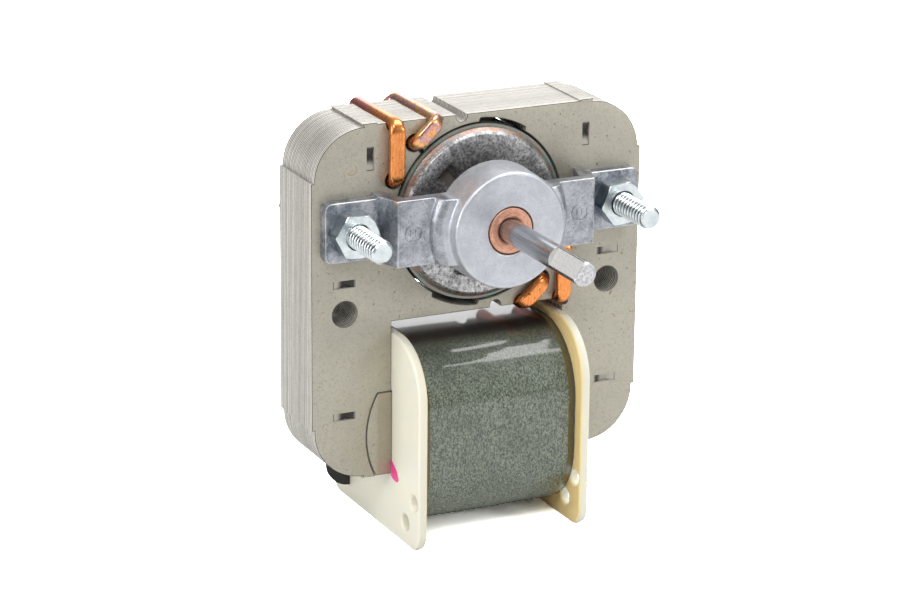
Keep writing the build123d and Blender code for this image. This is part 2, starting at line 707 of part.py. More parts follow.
# ---- Terminals ----------------------------------------------------------------------
with BuildPart() as block:
    block_width = -FLANGE_OUTER_X - BLOCK_OUTER_X
    with BuildSketch(across(STACK_FRONT + BLOCK_FRONT)) as block_face:
        with Locations((BLOCK_OUTER_X + block_width / 2, (BLOCK_TOP + BLOCK_BOTTOM) / 2)):
            Rectangle(block_width, BLOCK_TOP - BLOCK_BOTTOM)
        foot_corner, top_corner = block_face.vertices().group_by(Axis.X)[0].sort_by(Axis.Y)
        fillet(foot_corner, BLOCK_CORNER)
        fillet(top_corner, BLOCK_TOP_CORNER)
    extrude(amount=-GUARD_THICKNESS)
    body_width = -FLANGE_OUTER_X - BLOCK_BODY_X
    with BuildSketch(across(STACK_FRONT + BLOCK_FRONT + GUARD_THICKNESS)):
        with Locations((BLOCK_BODY_X + body_width / 2, (BLOCK_TOP + BLOCK_BODY_BOTTOM) / 2)):
            Rectangle(body_width, BLOCK_TOP - BLOCK_BODY_BOTTOM)
    extrude(amount=-(BLOCK_BACK - BLOCK_FRONT - GUARD_THICKNESS))
    # Slots for the tabs, open at the back, and the way in for the winding's ends
    tab_root = STACK_FRONT + BLOCK_BACK - TAB_ROOT
    with BuildSketch(across(tab_root)):
        with Locations(*[(TAB_X, z) for z in TAB_HEIGHTS]):
            Rectangle(TAB_THICKNESS, TAB_WIDTH)
    extrude(amount=-TAB_ROOT, mode=Mode.SUBTRACT)
    with BuildSketch(along(-FLANGE_OUTER_X)):
        with Locations(*[(STACK_FRONT + LEAD_DEPTH, z) for z in TAB_HEIGHTS]):
            Circle(LEAD_RADIUS)
    extrude(amount=TAB_X + TAB_THICKNESS / 2 + FLANGE_OUTER_X, mode=Mode.SUBTRACT)
block.part.label = "terminal_block"
export_step(block.part, "parts/terminal_block.step")

with BuildPart() as tabs:
    with BuildSketch(along(TAB_X - TAB_THICKNESS / 2)) as tab_side:
        for z in TAB_HEIGHTS:
            with Locations((tab_root + (TAB_ROOT + TAB_LENGTH) / 2, z)):
                Rectangle(TAB_ROOT + TAB_LENGTH, TAB_WIDTH)
        fillet(tab_side.vertices().group_by(Axis.X)[-1], TAB_CORNER)
        for z in TAB_HEIGHTS:
            with Locations((tab_root + TAB_ROOT + TAB_LENGTH * TAB_HOLE_SHARE, z)):
                Circle(TAB_HOLE_RADIUS, mode=Mode.SUBTRACT)
    extrude(amount=TAB_THICKNESS)
tabs.part.label = "terminal_tabs"
export_step(tabs.part, "parts/terminal_tabs.step")

with BuildPart() as leads:
    lead_end = TAB_X + TAB_THICKNESS / 2
    with BuildSketch(along(lead_end)):
        with Locations(*[(STACK_FRONT + LEAD_DEPTH, z) for z in TAB_HEIGHTS]):
            Circle(LEAD_RADIUS)
    extrude(amount=-FLANGE_INNER_X - lead_end)
leads.part.label = "winding_ends"
export_step(leads.part, "parts/winding_ends.step")
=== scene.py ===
"""A shaded-pole C-frame fan motor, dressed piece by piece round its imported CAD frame.

Lengths inside the classes are millimetres in the row frame (+Z up, the shaft points along -Y) and
become metres where a mesh is made.
"""

from __future__ import annotations

import logging
import math
from collections.abc import Callable, Mapping, Sequence
from dataclasses import dataclass, field
from enum import Enum

import bmesh
import bpy
import numpy as np
from mathutils import Matrix, Vector
from mathutils.geometry import delaunay_2d_cdt

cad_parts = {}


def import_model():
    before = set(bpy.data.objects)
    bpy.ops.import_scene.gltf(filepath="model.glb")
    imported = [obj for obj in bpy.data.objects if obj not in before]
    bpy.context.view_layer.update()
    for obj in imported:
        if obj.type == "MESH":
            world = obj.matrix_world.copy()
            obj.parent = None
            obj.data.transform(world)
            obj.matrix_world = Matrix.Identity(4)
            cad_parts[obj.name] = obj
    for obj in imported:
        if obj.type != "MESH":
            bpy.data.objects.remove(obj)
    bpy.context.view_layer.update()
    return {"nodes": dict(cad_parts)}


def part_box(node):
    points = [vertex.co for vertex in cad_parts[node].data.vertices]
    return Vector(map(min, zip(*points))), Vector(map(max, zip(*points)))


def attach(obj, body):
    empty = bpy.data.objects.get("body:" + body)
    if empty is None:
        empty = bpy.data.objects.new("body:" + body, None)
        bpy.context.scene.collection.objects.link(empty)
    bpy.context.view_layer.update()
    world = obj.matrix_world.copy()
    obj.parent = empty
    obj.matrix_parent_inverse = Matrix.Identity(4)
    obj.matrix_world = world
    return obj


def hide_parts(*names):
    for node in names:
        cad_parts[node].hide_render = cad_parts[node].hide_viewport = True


LOG = logging.getLogger("motor")
METRE = 0.001
STATOR = "stator"
ROTOR = "rotor"
Array = np.ndarray
Colour = tuple[float, float, float]


# ---- Meshes -------------------------------------------------------------------------------------


def turn(angles: Array | float) -> Array:
    """Unit vectors (cos, sin) of angles in radians, stacked on a new last axis."""
    return np.stack([np.cos(angles), np.sin(angles)], -1)


def left_normals(loop: Array) -> Array:
    """Unit normals on the left of a closed loop of points, lengthened at corners for an even inset.

    The normal at a point is the mean of its two edges' normals divided by the square of that mean's
    length, which is the mitre rule.

    Args:
        loop: Points in order, shape (n, 2), the first not repeated.

    Returns:
        One vector per point, shape (n, 2).
    """
    ahead = np.roll(loop, -1, 0) - loop
    ahead /= np.linalg.norm(ahead, axis=1, keepdims=True) + 1e-12
    normal = np.stack([-ahead[:, 1], ahead[:, 0]], -1)
    mean = (normal + np.roll(normal, 1, 0)) / 2
    square = np.maximum((mean**2).sum(1, keepdims=True), 0.3)
    return mean / square


def inside(loops: Sequence[Array], points: Array) -> Array:
    """Tells which points lie inside an odd number of loops, by the crossings of a ray to the right.

    Args:
        loops: Closed loops of plane points.
        points: Points to test, shape (n, 2).

    Returns:
        A boolean for each point.
    """
    start = np.concatenate(loops)
    end = np.concatenate([np.roll(loop, -1, 0) for loop in loops])
    ax, ay, bx, by = (v[None] for v in (start[:, 0], start[:, 1], end[:, 0], end[:, 1]))
    px, py = points[:, :1], points[:, 1:]
    spans = (ay > py) != (by > py)
    rise = np.where(by == ay, 1.0, by - ay)
    return (spans & (px < (bx - ax) * (py - ay) / rise + ax)).sum(1) % 2 == 1


class Shape:
    """Collects surfaces in millimetres and turns them into one Blender mesh."""

    def __init__(self) -> None:
        """Starts with nothing in it."""
        self.points: list[Array] = []
        self.quads: list[Array] = []
        self.triangles: list[Array] = []
        self.count = 0

    def _take(self, points: Array) -> int:
        """Adds points and returns the index of the first."""
        first = self.count
        self.points.append(points.reshape(-1, 3))
        self.count += len(self.points[-1])
        return first

    def grid(self, surface: Array, close_u: bool = False, close_v: bool = False, flip: bool = False) -> None:
        """Adds a surface sampled on a grid of two parameters as quads.

        Args:
            surface: Points, shape (rows, columns, 3).
            close_u: The last row joins the first.
            close_v: The last column joins the first.
            flip: Turns the faces over.
        """
        rows, columns = surface.shape[:2]
        first = self._take(surface)
        u = np.arange(rows if close_u else rows - 1)
        v = np.arange(columns if close_v else columns - 1)
        u, v = np.meshgrid(u, v, indexing="ij")
        u1, v1 = (u + 1) % rows, (v + 1) % columns
        quads = np.stack([u * columns + v, u * columns + v1, u1 * columns + v1, u1 * columns + v], -1)
        quads = quads.reshape(-1, 4) + first
        self.quads.append(quads[:, ::-1] if flip else quads)

    def flat(self, loops: Sequence[Array], lift: Callable[[Array], Array], flip: bool = False) -> None:
        """Fills the area inside the first loop and outside the others with triangles.

        Args:
            loops: Closed loops of plane points.
            lift: Turns plane points (n, 2) into space points (n, 3).
            flip: Turns the faces over.
        """
        points = np.concatenate(loops)
        starts = np.cumsum([0] + [len(loop) for loop in loops])
        edges = [
            (int(a + i), int(a + (i + 1) % (b - a)))
            for a, b in zip(starts[:-1], starts[1:])
            for i in range(b - a)
        ]
        whole = 0
        verts, _, faces, *_ = delaunay_2d_cdt(
            [Vector(p) for p in points.tolist()], edges, [], whole, 1e-7
        )
        flat_points = np.array([tuple(v) for v in verts])
        faces = np.array(faces)
        faces = faces[inside(loops, flat_points[faces].mean(1))]
        first = self._take(lift(flat_points))
        faces = faces + first
        self.triangles.append(faces[:, ::-1] if flip else faces)

    def plate(self, loops: Sequence[Array], rows: Array, lift: Callable[[Array, Array], Array]) -> None:
        """Adds a closed plate: its loops carried through its thickness, with a flat cap on each side.

        A wall point is its loop's point moved into the material by the row's inset.

        Args:
            loops: The outline anticlockwise, then holes clockwise, as plane points.
            rows: (height, inset) of each row from one cap to the other, shape (m, 2).
            lift: Turns plane points and heights into space points.
        """
        part = Shape()
        normals = [left_normals(loop) for loop in loops]
        for loop, normal in zip(loops, normals):
            wall = loop[None] + rows[:, 1, None, None] * normal[None]
            height = np.broadcast_to(rows[:, 0, None], wall.shape[:2])
            part.grid(lift(wall, height), close_v=True)
        for row, flip in ((rows[0], False), (rows[-1], True)):
            rims = [loop + row[1] * normal for loop, normal in zip(loops, normals)]
            part.flat(rims, lambda p, h=row[0]: lift(p, np.full(len(p), h)), flip)
        self.merge(part)

    def merge(self, part: "Shape") -> None:
        """Adds a closed part, turned right side out by the sign of its volume."""
        points = np.concatenate(part.points)
        quads = np.concatenate(part.quads) if part.quads else np.zeros((0, 4), int)
        halves = np.concatenate([quads[:, :3], quads[:, [0, 2, 3]]])
        triangles = np.concatenate(part.triangles + [halves])
        a, b, c = (points[triangles[:, k]] for k in range(3))
        inside_out = (a * np.cross(b, c)).sum() < 0
        first = self._take(points)
        self.quads += [(q[:, ::-1] if inside_out else q) + first for q in part.quads]
        self.triangles += [(t[:, ::-1] if inside_out else t) + first for t in part.triangles]

    def closed(self, surface: Array, close_v: bool = True) -> None:
        """Adds a closed grid: a tube or a turned profile whose two parameters both come round."""
        part = Shape()
        part.grid(surface, close_u=True, close_v=close_v)
        self.merge(part)

    def build(self, name: str, sharp: float = 35.0) -> bpy.types.Object:
        """Makes the Blender object.

        Args:
            name: The object's name.
            sharp: Edges that turn by more than this many degrees are creased.

        Returns:
            The object, linked to the scene, with its place in its mesh.
        """
        mesh = bpy.data.meshes.new(name)
        points = np.concatenate(self.points) * METRE
        quads = np.concatenate(self.quads) if self.quads else np.zeros((0, 4), int)
        triangles = np.concatenate(self.triangles) if self.triangles else np.zeros((0, 3), int)
        corners = np.concatenate([quads.ravel(), triangles.ravel()]).astype(np.int32)
        sizes = np.concatenate([np.full(len(quads), 4), np.full(len(triangles), 3)])
        starts = np.concatenate([[0], np.cumsum(sizes)[:-1]]).astype(np.int32)
        mesh.vertices.add(len(points))
        mesh.vertices.foreach_set("co", points.astype(np.float32).ravel())
        mesh.loops.add(len(corners))
        mesh.loops.foreach_set("vertex_index", corners)
        mesh.polygons.add(len(sizes))
        mesh.polygons.foreach_set("loop_start", starts)
        mesh.update(calc_edges=True)
        mesh.validate()
        weld(mesh)
        crease(mesh, sharp)
        return link(bpy.data.objects.new(name, mesh))


def weld(mesh: bpy.types.Mesh, distance: float = 1e-7) -> None:
    """Joins points of a mesh that lie within distance metres."""
    work = bmesh.new()
    work.from_mesh(mesh)
    bmesh.ops.remove_doubles(work, verts=work.verts, dist=distance)
    work.to_mesh(mesh)
    work.free()


def crease(mesh: bpy.types.Mesh, sharp: float) -> None:
    """Shades a mesh smooth, but creased over sharp degrees and flat on its three-cornered caps."""
    triangle = np.zeros(len(mesh.polygons), np.int32)
    mesh.polygons.foreach_get("loop_total", triangle)
    mesh.polygons.foreach_set("use_smooth", triangle > 3)
    mesh.set_sharp_from_angle(angle=math.radians(sharp))


def mark_wear_and_sheen(mesh: bpy.types.Mesh, rounds: int = 3) -> None:
    """Stores how far each point of a dense mesh stands out, for the shader's bright rims, partly rubbed metal
    and partly a painted highlight.

    The value is how far the mean of a point's neighbours lies behind it along its normal, as a share of
    the edge length, then averaged with its neighbours' values for some rounds.

    Args:
        mesh: A dense even mesh.
        rounds: Rounds of averaging.
    """
    count = len(mesh.vertices)
    place, normal = np.zeros(count * 3), np.zeros(count * 3)
    mesh.vertices.foreach_get("co", place)
    mesh.vertex_normals.foreach_get("vector", normal)
    ends = np.zeros(len(mesh.edges) * 2, np.int32)
    mesh.edges.foreach_get("vertices", ends)
    place, normal, ends = place.reshape(-1, 3), normal.reshape(-1, 3), ends.reshape(-1, 2)
    degree = np.bincount(ends.ravel(), minlength=count)

    def neighbours(values: Array) -> Array:
        """The mean of each point's neighbours' values."""
        first = np.bincount(ends[:, 0], values[ends[:, 1]], count)
        second = np.bincount(ends[:, 1], values[ends[:, 0]], count)
        return (first + second) / np.maximum(degree, 1)

    mean = np.stack([neighbours(place[:, k]) for k in range(3)], -1)
    length = np.linalg.norm(place[ends[:, 0]] - place[ends[:, 1]], axis=1).mean()
    wear = ((place - mean) * normal).sum(1) / length
    for _ in range(rounds):
        wear = (wear + neighbours(wear)) / 2
    attribute = mesh.attributes.new("wear", "FLOAT", "POINT")
    attribute.data.foreach_set("value", wear.astype(np.float32))


def link(piece: bpy.types.Object) -> bpy.types.Object:
    """Puts a new object in the scene and returns it."""
    bpy.context.scene.collection.objects.link(piece)
    return piece


def circle(centre: Sequence[float], radius: float, count: int = 64, clockwise: bool = False) -> Array:
    """Points evenly round a circle."""
    angles = np.linspace(0, math.tau, count, endpoint=False)
    ring = np.asarray(centre) + radius * turn(angles)
    return ring[::-1] if clockwise else ring


def arc(centre: Sequence[float], radius: float, start: float, sweep: float, count: int = 12) -> Array:
    """Points along an arc from start through sweep degrees."""
    angles = np.radians(np.linspace(start, start + sweep, count))
    return np.asarray(centre) + radius * turn(angles)


def rounded(width: float, height: float, radii: Sequence[float], centre: Sequence[float] = (0, 0),
            count: int = 10) -> Array:
    """An anticlockwise rectangle with an arc at each corner.

    Args:
        width: Full width.
        height: Full height.
        radii: Corner radii, anticlockwise from the lower right one.
        centre: Middle of the rectangle.
        count: Points in each corner.

    Returns:
        The loop, shape (4 * count, 2).
    """
    corners = []
    for index, radius in enumerate(radii):
        sx, sy = ((1, -1), (1, 1), (-1, 1), (-1, -1))[index]
        middle = (centre[0] + sx * (width / 2 - radius), centre[1] + sy * (height / 2 - radius))
        corners.append(arc(middle, radius, -90 + 90 * index, 90, count))
    return np.concatenate(corners)


def finer(loop: Array, step: float) -> Array:
    """The same closed loop with no edge longer than step, each edge divided evenly."""
    following = np.roll(loop, -1, 0)
    parts = np.maximum(1, np.ceil(np.linalg.norm(following - loop, axis=1) / step)).astype(int)
    owner = np.repeat(np.arange(len(loop)), parts)
    first = np.repeat(np.cumsum(parts) - parts, parts)
    share = (np.arange(parts.sum()) - first) / parts[owner]
    return loop[owner] + share[:, None] * (following - loop)[owner]


def round_edge(low: float, high: float, radius: float, steps: int = 5) -> Array:
    """Rows of a plate from low to high whose two rims are quarter circles of the given radius.

    Args:
        low: Height of the first cap.
        high: Height of the last cap.
        radius: Radius of both rims.
        steps: Rows on each rim.

    Returns:
        (height, inset) rows.
    """
    angle = np.linspace(0, math.pi / 2, steps)
    rise, inset = radius * (1 - np.cos(angle)), radius * (1 - np.sin(angle))
    sign = math.copysign(1, high - low)
    first = np.stack([low + sign * rise, inset], -1)
    last = np.stack([high - sign * rise, inset], -1)[::-1]
    return np.concatenate([first, last])


def facing_shaft(points: Array, height: Array) -> Array:
    """Lifts plane points (x, z) to the row frame with the height along Y."""
    return np.stack([points[..., 0], height, points[..., 1]], -1)


def facing_coil(points: Array, height: Array) -> Array:
    """Lifts plane points (y, z) to the row frame with the height along X."""
    return np.stack([height, points[..., 0], points[..., 1]], -1)


def turned(profile: Array, count: int = 96) -> Array:
    """A profile of (radius, y) turned about the shaft axis, as a grid of (angle, profile point)."""
    angles = turn(np.linspace(0, math.tau, count, endpoint=False))
    x = angles[:, None, 0] * profile[None, :, 0]
    z = angles[:, None, 1] * profile[None, :, 0]
    y = np.broadcast_to(profile[None, :, 1], x.shape)
    return np.stack([x, y, z], -1)


def softened(profile: Array, radius: float, steps: int = 4) -> Array:
    """A closed profile with each corner cut to a small round of about radius.

    Each corner becomes a quadratic curve between the points at radius before and after it.

    Args:
        profile: Closed profile, shape (n, 2).
        radius: Distance from the corner where the round starts.
        steps: Points of each round.

    Returns:
        The rounded profile, shape (n * steps, 2).
    """
    before = np.roll(profile, 1, 0) - profile
    after = np.roll(profile, -1, 0) - profile
    reach_before = np.linalg.norm(before, axis=1, keepdims=True)
    reach_after = np.linalg.norm(after, axis=1, keepdims=True)
    start = profile + before / reach_before * np.minimum(radius, reach_before * 0.45)
    end = profile + after / reach_after * np.minimum(radius, reach_after * 0.45)
    t = np.linspace(0, 1, steps)[None, :, None]
    curve = (1 - t) ** 2 * start[:, None] + 2 * t * (1 - t) * profile[:, None] + t**2 * end[:, None]
    return curve.reshape(-1, 2)


# ---- Shaders ------------------------------------------------------------------------------------


class Wire:
    """A socket of a shader, which adds, multiplies and takes powers like a number."""

    def __init__(self, tree: "Tree", socket: bpy.types.NodeSocket) -> None:
        """Wraps a node's output socket."""
        self.tree = tree
        self.socket = socket

    def _math(self, operation: str, first: object, second: object = 0.0) -> "Wire":
        """Adds a Math node of that operation."""
        node = self.tree.node("ShaderNodeMath", {"operation": operation}, {0: first, 1: second})
        return Wire(self.tree, node.outputs[0])

    def __add__(self, other: object) -> "Wire":
        """The sum."""
        return self._math("ADD", self, other)

    __radd__ = __add__

    def __sub__(self, other: object) -> "Wire":
        """The difference."""
        return self._math("SUBTRACT", self, other)

    def __rsub__(self, other: object) -> "Wire":
        """The difference from a number."""
        return self._math("SUBTRACT", other, self)

    def __mul__(self, other: object) -> "Wire":
        """The product."""
        return self._math("MULTIPLY", self, other)

    __rmul__ = __mul__

    def __truediv__(self, other: object) -> "Wire":
        """The quotient."""
        return self._math("DIVIDE", self, other)

    def __abs__(self) -> "Wire":
        """The size without its sign."""
        return self._math("ABSOLUTE", self)

    def __pow__(self, other: object) -> "Wire":
        """The power."""
        return self._math("POWER", self, other)

    def floor(self) -> "Wire":
        """The whole number below."""
        return self._math("FLOOR", self)

    def least(self, other: object) -> "Wire":
        """The lesser of two."""
        return self._math("MINIMUM", self, other)

    def between(self, low: float, high: float, start: float = 0.0, end: float = 1.0) -> "Wire":
        """A smooth step from start, at or under low, to end, at or over high."""
        settings = {"interpolation_type": "SMOOTHSTEP"}
        inputs = {0: self, 1: low, 2: high, 3: start, 4: end}
        return Wire(self.tree, self.tree.node("ShaderNodeMapRange", settings, inputs).outputs[0])


class Tree:
    """The node tree of one new material, or of the world."""

    def __init__(self, name: str) -> None:
        """Makes the material with a Principled shader and nothing else."""
        self.material = bpy.data.materials.new(name)
        self._start(self.material, "ShaderNodeBsdfPrincipled", "ShaderNodeOutputMaterial")
        place = self.node("ShaderNodeTexCoord")
        inputs = {0: place.outputs["Object"], "Scale": 1000}
        scaled = self.node("ShaderNodeVectorMath", {"operation": "SCALE"}, inputs)
        self.place = Wire(self, scaled.outputs[0])
        self.normal = Wire(self, place.outputs["Normal"])

    @classmethod
    def of_world(cls, world: bpy.types.World) -> "Tree":
        """The node tree of a world, with a Background shader."""
        tree = cls.__new__(cls)
        tree._start(world, "ShaderNodeBackground", "ShaderNodeOutputWorld")
        return tree

    def _start(self, owner: bpy.types.ID, shader: str, output: str) -> None:
        """Empties the owner's tree and puts in a shader linked to an output."""
        owner.use_nodes = True
        self.nodes = owner.node_tree.nodes
        self.links = owner.node_tree.links
        self.nodes.clear()
        self.shader = self.nodes.new(shader)
        self.links.new(self.shader.outputs[0], self.nodes.new(output).inputs[0])

    def node(self, kind: str, settings: Mapping[str, object] | None = None,
             inputs: Mapping[object, object] | None = None) -> bpy.types.Node:
        """Adds one node.

        Args:
            kind: The node's type.
            settings: Its properties, set first; "stops" holds a ramp's (position, colour) pairs.
            inputs: Values, sockets or wires for its input sockets.

        Returns:
            The node.
        """
        node = self.nodes.new(kind)
        for key, value in (settings or {}).items():
            if key == "stops":
                ramp = node.color_ramp
                while len(ramp.elements) < len(value):
                    ramp.elements.new(0.5)
                for element, (position, colour) in zip(ramp.elements, value):
                    element.position = position
                    element.color = (*colour, 1.0)
            else:
                setattr(node, key, value)
        for key, value in (inputs or {}).items():
            self.feed(node.inputs[key], value)
        return node

    def feed(self, socket: bpy.types.NodeSocket, value: object) -> None:
        """Links a wire or socket to an input, or sets it to a plain value."""
        if isinstance(value, Wire):
            self.links.new(value.socket, socket)
        elif isinstance(value, bpy.types.NodeSocket):
            self.links.new(value, socket)
        elif isinstance(value, tuple) and len(value) == 3 and socket.type == "RGBA":
            socket.default_value = (*value, 1.0)
        else:
            socket.default_value = value

    def axis(self, vector: Wire, name: str) -> Wire:
        """One component of a vector, by its letter."""
        parts = self.node("ShaderNodeSeparateXYZ", None, {0: vector})
        return Wire(self, parts.outputs[name])

    def attribute(self, name: str) -> Wire:
        """A value stored on the mesh."""
        return Wire(self, self.node("ShaderNodeAttribute", {"attribute_name": name}).outputs["Fac"])

    def polar(self) -> tuple[Wire, Wire]:
        """The distance from the shaft's axis, and the angle round it in radians."""
        x, z = self.axis(self.place, "X"), self.axis(self.place, "Z")
        return (x * x + z * z) ** 0.5, z._math("ARCTAN2", z, x)

    def vector(self, x: object, y: object, z: object) -> Wire:
        """A vector made from three numbers."""
        return Wire(self, self.node("ShaderNodeCombineXYZ", None, {0: x, 1: y, 2: z}).outputs[0])

    def stretch(self, scale: Sequence[float], turned_by: Sequence[float] = (0, 0, 0)) -> Wire:
        """The place, turned by radians and stretched along its axes."""
        mapped = self.node("ShaderNodeMapping", {"vector_type": "POINT"},
                           {"Vector": self.place, "Scale": tuple(scale), "Rotation": tuple(turned_by)})
        return Wire(self, mapped.outputs[0])

    def noise(self, scale: float, detail: float = 3, roughness: float = 0.55, at: Wire | None = None,
              warp: float = 0.0) -> Wire:
        """Cloudy noise from nought to one; scale is its cells per millimetre."""
        node = self.node("ShaderNodeTexNoise", None, {
            "Vector": at or self.place, "Scale": scale, "Detail": detail, "Roughness": roughness,
            "Distortion": warp})
        return Wire(self, node.outputs[0])

    def cells(self, scale: float, at: Wire | None = None) -> Wire:
        """The distance to the nearest of scattered points, for pits and grains."""
        node = self.node("ShaderNodeTexVoronoi", None, {"Vector": at or self.place, "Scale": scale})
        return Wire(self, node.outputs["Distance"])

    def chance(self, number: Wire) -> Wire:
        """A random value from nought to one for each value of a number."""
        node = self.node("ShaderNodeTexWhiteNoise", {"noise_dimensions": "1D"}, {"W": number})
        return Wire(self, node.outputs[0])

    def mix(self, share: object, first: object, second: object, blend: str = "MIX") -> Wire:
        """Mixes two colours by share."""
        node = self.node("ShaderNodeMix", {"data_type": "RGBA", "blend_type": blend},
                         {0: share, 6: first, 7: second})
        return Wire(self, node.outputs[2])

    def ramp(self, position: Wire, stops: Sequence[tuple[float, Colour]]) -> Wire:
        """Colours along a ramp."""
        node = self.node("ShaderNodeValToRGB", {"stops": stops}, {0: position})
        return Wire(self, node.outputs[0])

    def bump(self, height: Wire, depth: float) -> Wire:
        """A normal bent by a height, whose full range is depth millimetres."""
        node = self.node("ShaderNodeBump", None, {
            "Strength": 1.0, "Distance": depth * METRE, "Height": height})
        return Wire(self, node.outputs[0])

    def finish(self, **sockets: object) -> bpy.types.Material:
        """Feeds the Principled shader, with _ for spaces in its sockets' names."""
        for key, value in sockets.items():
            self.feed(self.shader.inputs[key.replace("_", " ")], value)
        return self.material


# ---- Finishes -----------------------------------------------------------------------------------


@dataclass(frozen=True)
class LaminationSteel:
    """Rolled electrical steel: dull faces, and stamped edges that show every sheet."""

    name: str = "lamination_steel"
    ring_stain: tuple[float, float, float] = (-22.9, 9.7, 0.85)
    face: Colour = (0.44, 0.42, 0.345)
    edge: Colour = (0.84, 0.82, 0.76)
    stain: Colour = (0.26, 0.19, 0.11)
    sheet: float = 0.508
    first_sheet: float = 5.5

    def make(self) -> bpy.types.Material:
        """Builds the material."""
        t = Tree(self.name)
        x, y, z = (t.axis(t.place, name) for name in "XYZ")
        on_face = abs(t.axis(t.normal, "Y")).between(0.6, 0.9)
        position = (y - self.first_sheet) / self.sheet
        number = position.floor()
        within = position - number
        seam = 1 - within.least(1 - within).between(0.08, 0.36)
        tone = t.chance(number * 7.31 + 2.0).between(0.0, 1.0, 0.80, 1.06)
        along = t.noise(0.9, 3, 0.6, t.stretch((0.5, 4.0, 0.5)))
        burr = t.noise(2.6, 3, 0.8)
        edge = t.mix(along.between(0.35, 0.75, 0.0, 0.45), self.edge, (0.50, 0.47, 0.40))
        edge = t.mix(burr.between(0.45, 0.8, 0.0, 0.5), edge, (0.30, 0.28, 0.24))
        edge = t.mix(1.0, edge, t.vector(tone, tone, tone), "MULTIPLY")
        edge = t.mix(seam * 0.85, edge, (0.07, 0.062, 0.05))
        grain = t.noise(1.9, 6, 0.8)
        speck = t.noise(2.8, 3, 0.85)
        cloud = t.noise(0.09, 3, 0.6)
        face = t.mix(grain.between(0.3, 0.75, 0.0, 0.55), self.face, (0.56, 0.52, 0.44))
        face = t.mix(speck.between(0.52, 0.68, 0.0, 0.55), face, (0.22, 0.205, 0.165))
        face = t.mix(cloud.between(0.35, 0.75, 0.0, 0.35), face, (0.36, 0.34, 0.29))
        low_bar = (1 - abs(x).between(17.8, 18.6)) * (1 - z.between(-29.3, -29.1))
        face = t.mix(low_bar * 0.5, face, (0.33, 0.27, 0.18))
        stains = t.noise(1.3, 2, 0.4).between(0.69, 0.74)
        face = t.mix(stains * 0.8, face, self.stain)
        scratch = t.noise(0.9, 3, 0.7, t.stretch((0.25, 1, 6.0), (0.0, 0.5, 0.0))).between(0.64, 0.70)
        face = t.mix(scratch * 0.35, face, (0.66, 0.63, 0.56))
        off_x, off_z = x - self.ring_stain[0], z - self.ring_stain[1]
        stain_reach = (off_x * off_x + off_z * off_z) ** 0.5
        ring = 1 - abs(stain_reach - self.ring_stain[2]).between(0.04, 0.16)
        ring = ring * (off_x - off_z * 1.2).between(-0.5, 0.1)
        face = t.mix(ring * 0.6, face, (0.40, 0.24, 0.07))
        # Painted light and shade inside the stake pits: by its normal, a pit wall turned upwards or towards
        # the middle is painted light, and any other pit wall is painted dark.
        up, outwards = t.axis(t.normal, "Z"), t.axis(t.normal, "X") * x.between(-1.0, 1.0, 1.0, -1.0)
        depth = y - self.first_sheet
        pit = on_face * depth.between(0.02, 0.15) * (1 - depth.between(0.9, 1.0))
        lit = (up + outwards).between(-0.04, 0.04)
        face = t.mix(pit, face, t.mix(lit, (0.05, 0.047, 0.042), (0.46, 0.44, 0.39)))
        colour = t.mix(on_face, edge, face)
        # Painted shade: a thin dark line along the front sheet's rollover, outside the stake pits.
        rim = depth.between(0.004, 0.010) * (1 - depth.between(0.05, 0.06)) * (1 - pit)
        colour = t.mix(rim * 0.85, colour, (0.03, 0.028, 0.024))
        rough = on_face * (grain * 0.25 + 0.36) + (1 - on_face) * (burr * 0.25 + 0.34)
        flat_height = grain * 0.5 + speck * 0.5 + stains * -0.6 + scratch * -0.3
        height = flat_height * on_face + burr * 0.5 - seam * 0.5
        return t.finish(Base_Color=colour, Metallic=0.55, Roughness=rough, Normal=t.bump(height, 0.025))


@dataclass(frozen=True)
class DieCast:
    """Die-cast alloy: blue grey, cloudy and pitted, with painted shade on its feet and webs, and bright rims
    that are partly rubbed and partly a painted highlight.
    """

    name: str = "die_cast"
    body: Colour = (0.47, 0.48, 0.52)
    dark: Colour = (0.15, 0.17, 0.20)
    # Colour of the bright rims: rubbed metal and a painted highlight.
    rim: Colour = (0.90, 0.91, 0.93)

    def make(self) -> bpy.types.Material:
        """Builds the material."""
        t = Tree(self.name)
        radius, _ = t.polar()
        cloud = t.noise(0.30, 4, 0.6)
        skin = t.noise(1.1, 5, 0.8)
        fine = t.noise(2.3, 3, 0.85)
        pits = (1 - t.cells(1.6).between(0.05, 0.16)) * t.noise(0.35, 2, 0.5).between(0.48, 0.60)
        worn_and_sheen = t.attribute("wear").between(0.02, 0.11)
        boss = 1 - radius.between(10.6, 11.4)
        foot = abs(t.axis(t.place, "X")).between(16.5, 18.5)
        # Dark cloudy smudges everywhere, made stronger on the feet and webs as painted shade behind the arms,
        # and weaker on the boss.
        smudge_and_shade = cloud.between(0.34, 0.62) * (foot * 0.45 + 0.5) * (1 - boss * 0.65)
        colour = t.mix(boss, self.body, (0.60, 0.62, 0.66))
        colour = t.mix(smudge_and_shade, colour, self.dark)
        colour = t.mix(skin.between(0.48, 0.68, 0.0, 0.5), colour, (0.70, 0.71, 0.74))
        colour = t.mix(fine.between(0.50, 0.68) * (0.55 - boss * 0.35), colour, (0.09, 0.10, 0.12))
        colour = t.mix(pits * (0.85 - boss * 0.5), colour, (0.05, 0.05, 0.055))
        amber = t.noise(0.7, 1, 0.3).between(0.76, 0.79)
        colour = t.mix(amber * foot * 0.8, colour, (0.55, 0.27, 0.05))
        # Painted highlight along the convex rims, over their real rubbing.
        colour = t.mix(worn_and_sheen * 0.9, colour, self.rim)
        rough = skin * 0.2 + 0.26 + boss * 0.10 - worn_and_sheen * 0.08
        height = skin * 0.7 + cloud * 0.9 + fine * 0.5 - pits * 1.5
        return t.finish(Base_Color=colour, Metallic=0.82, Roughness=rough,
                        Normal=t.bump(height * (1.15 - boss), 0.06))


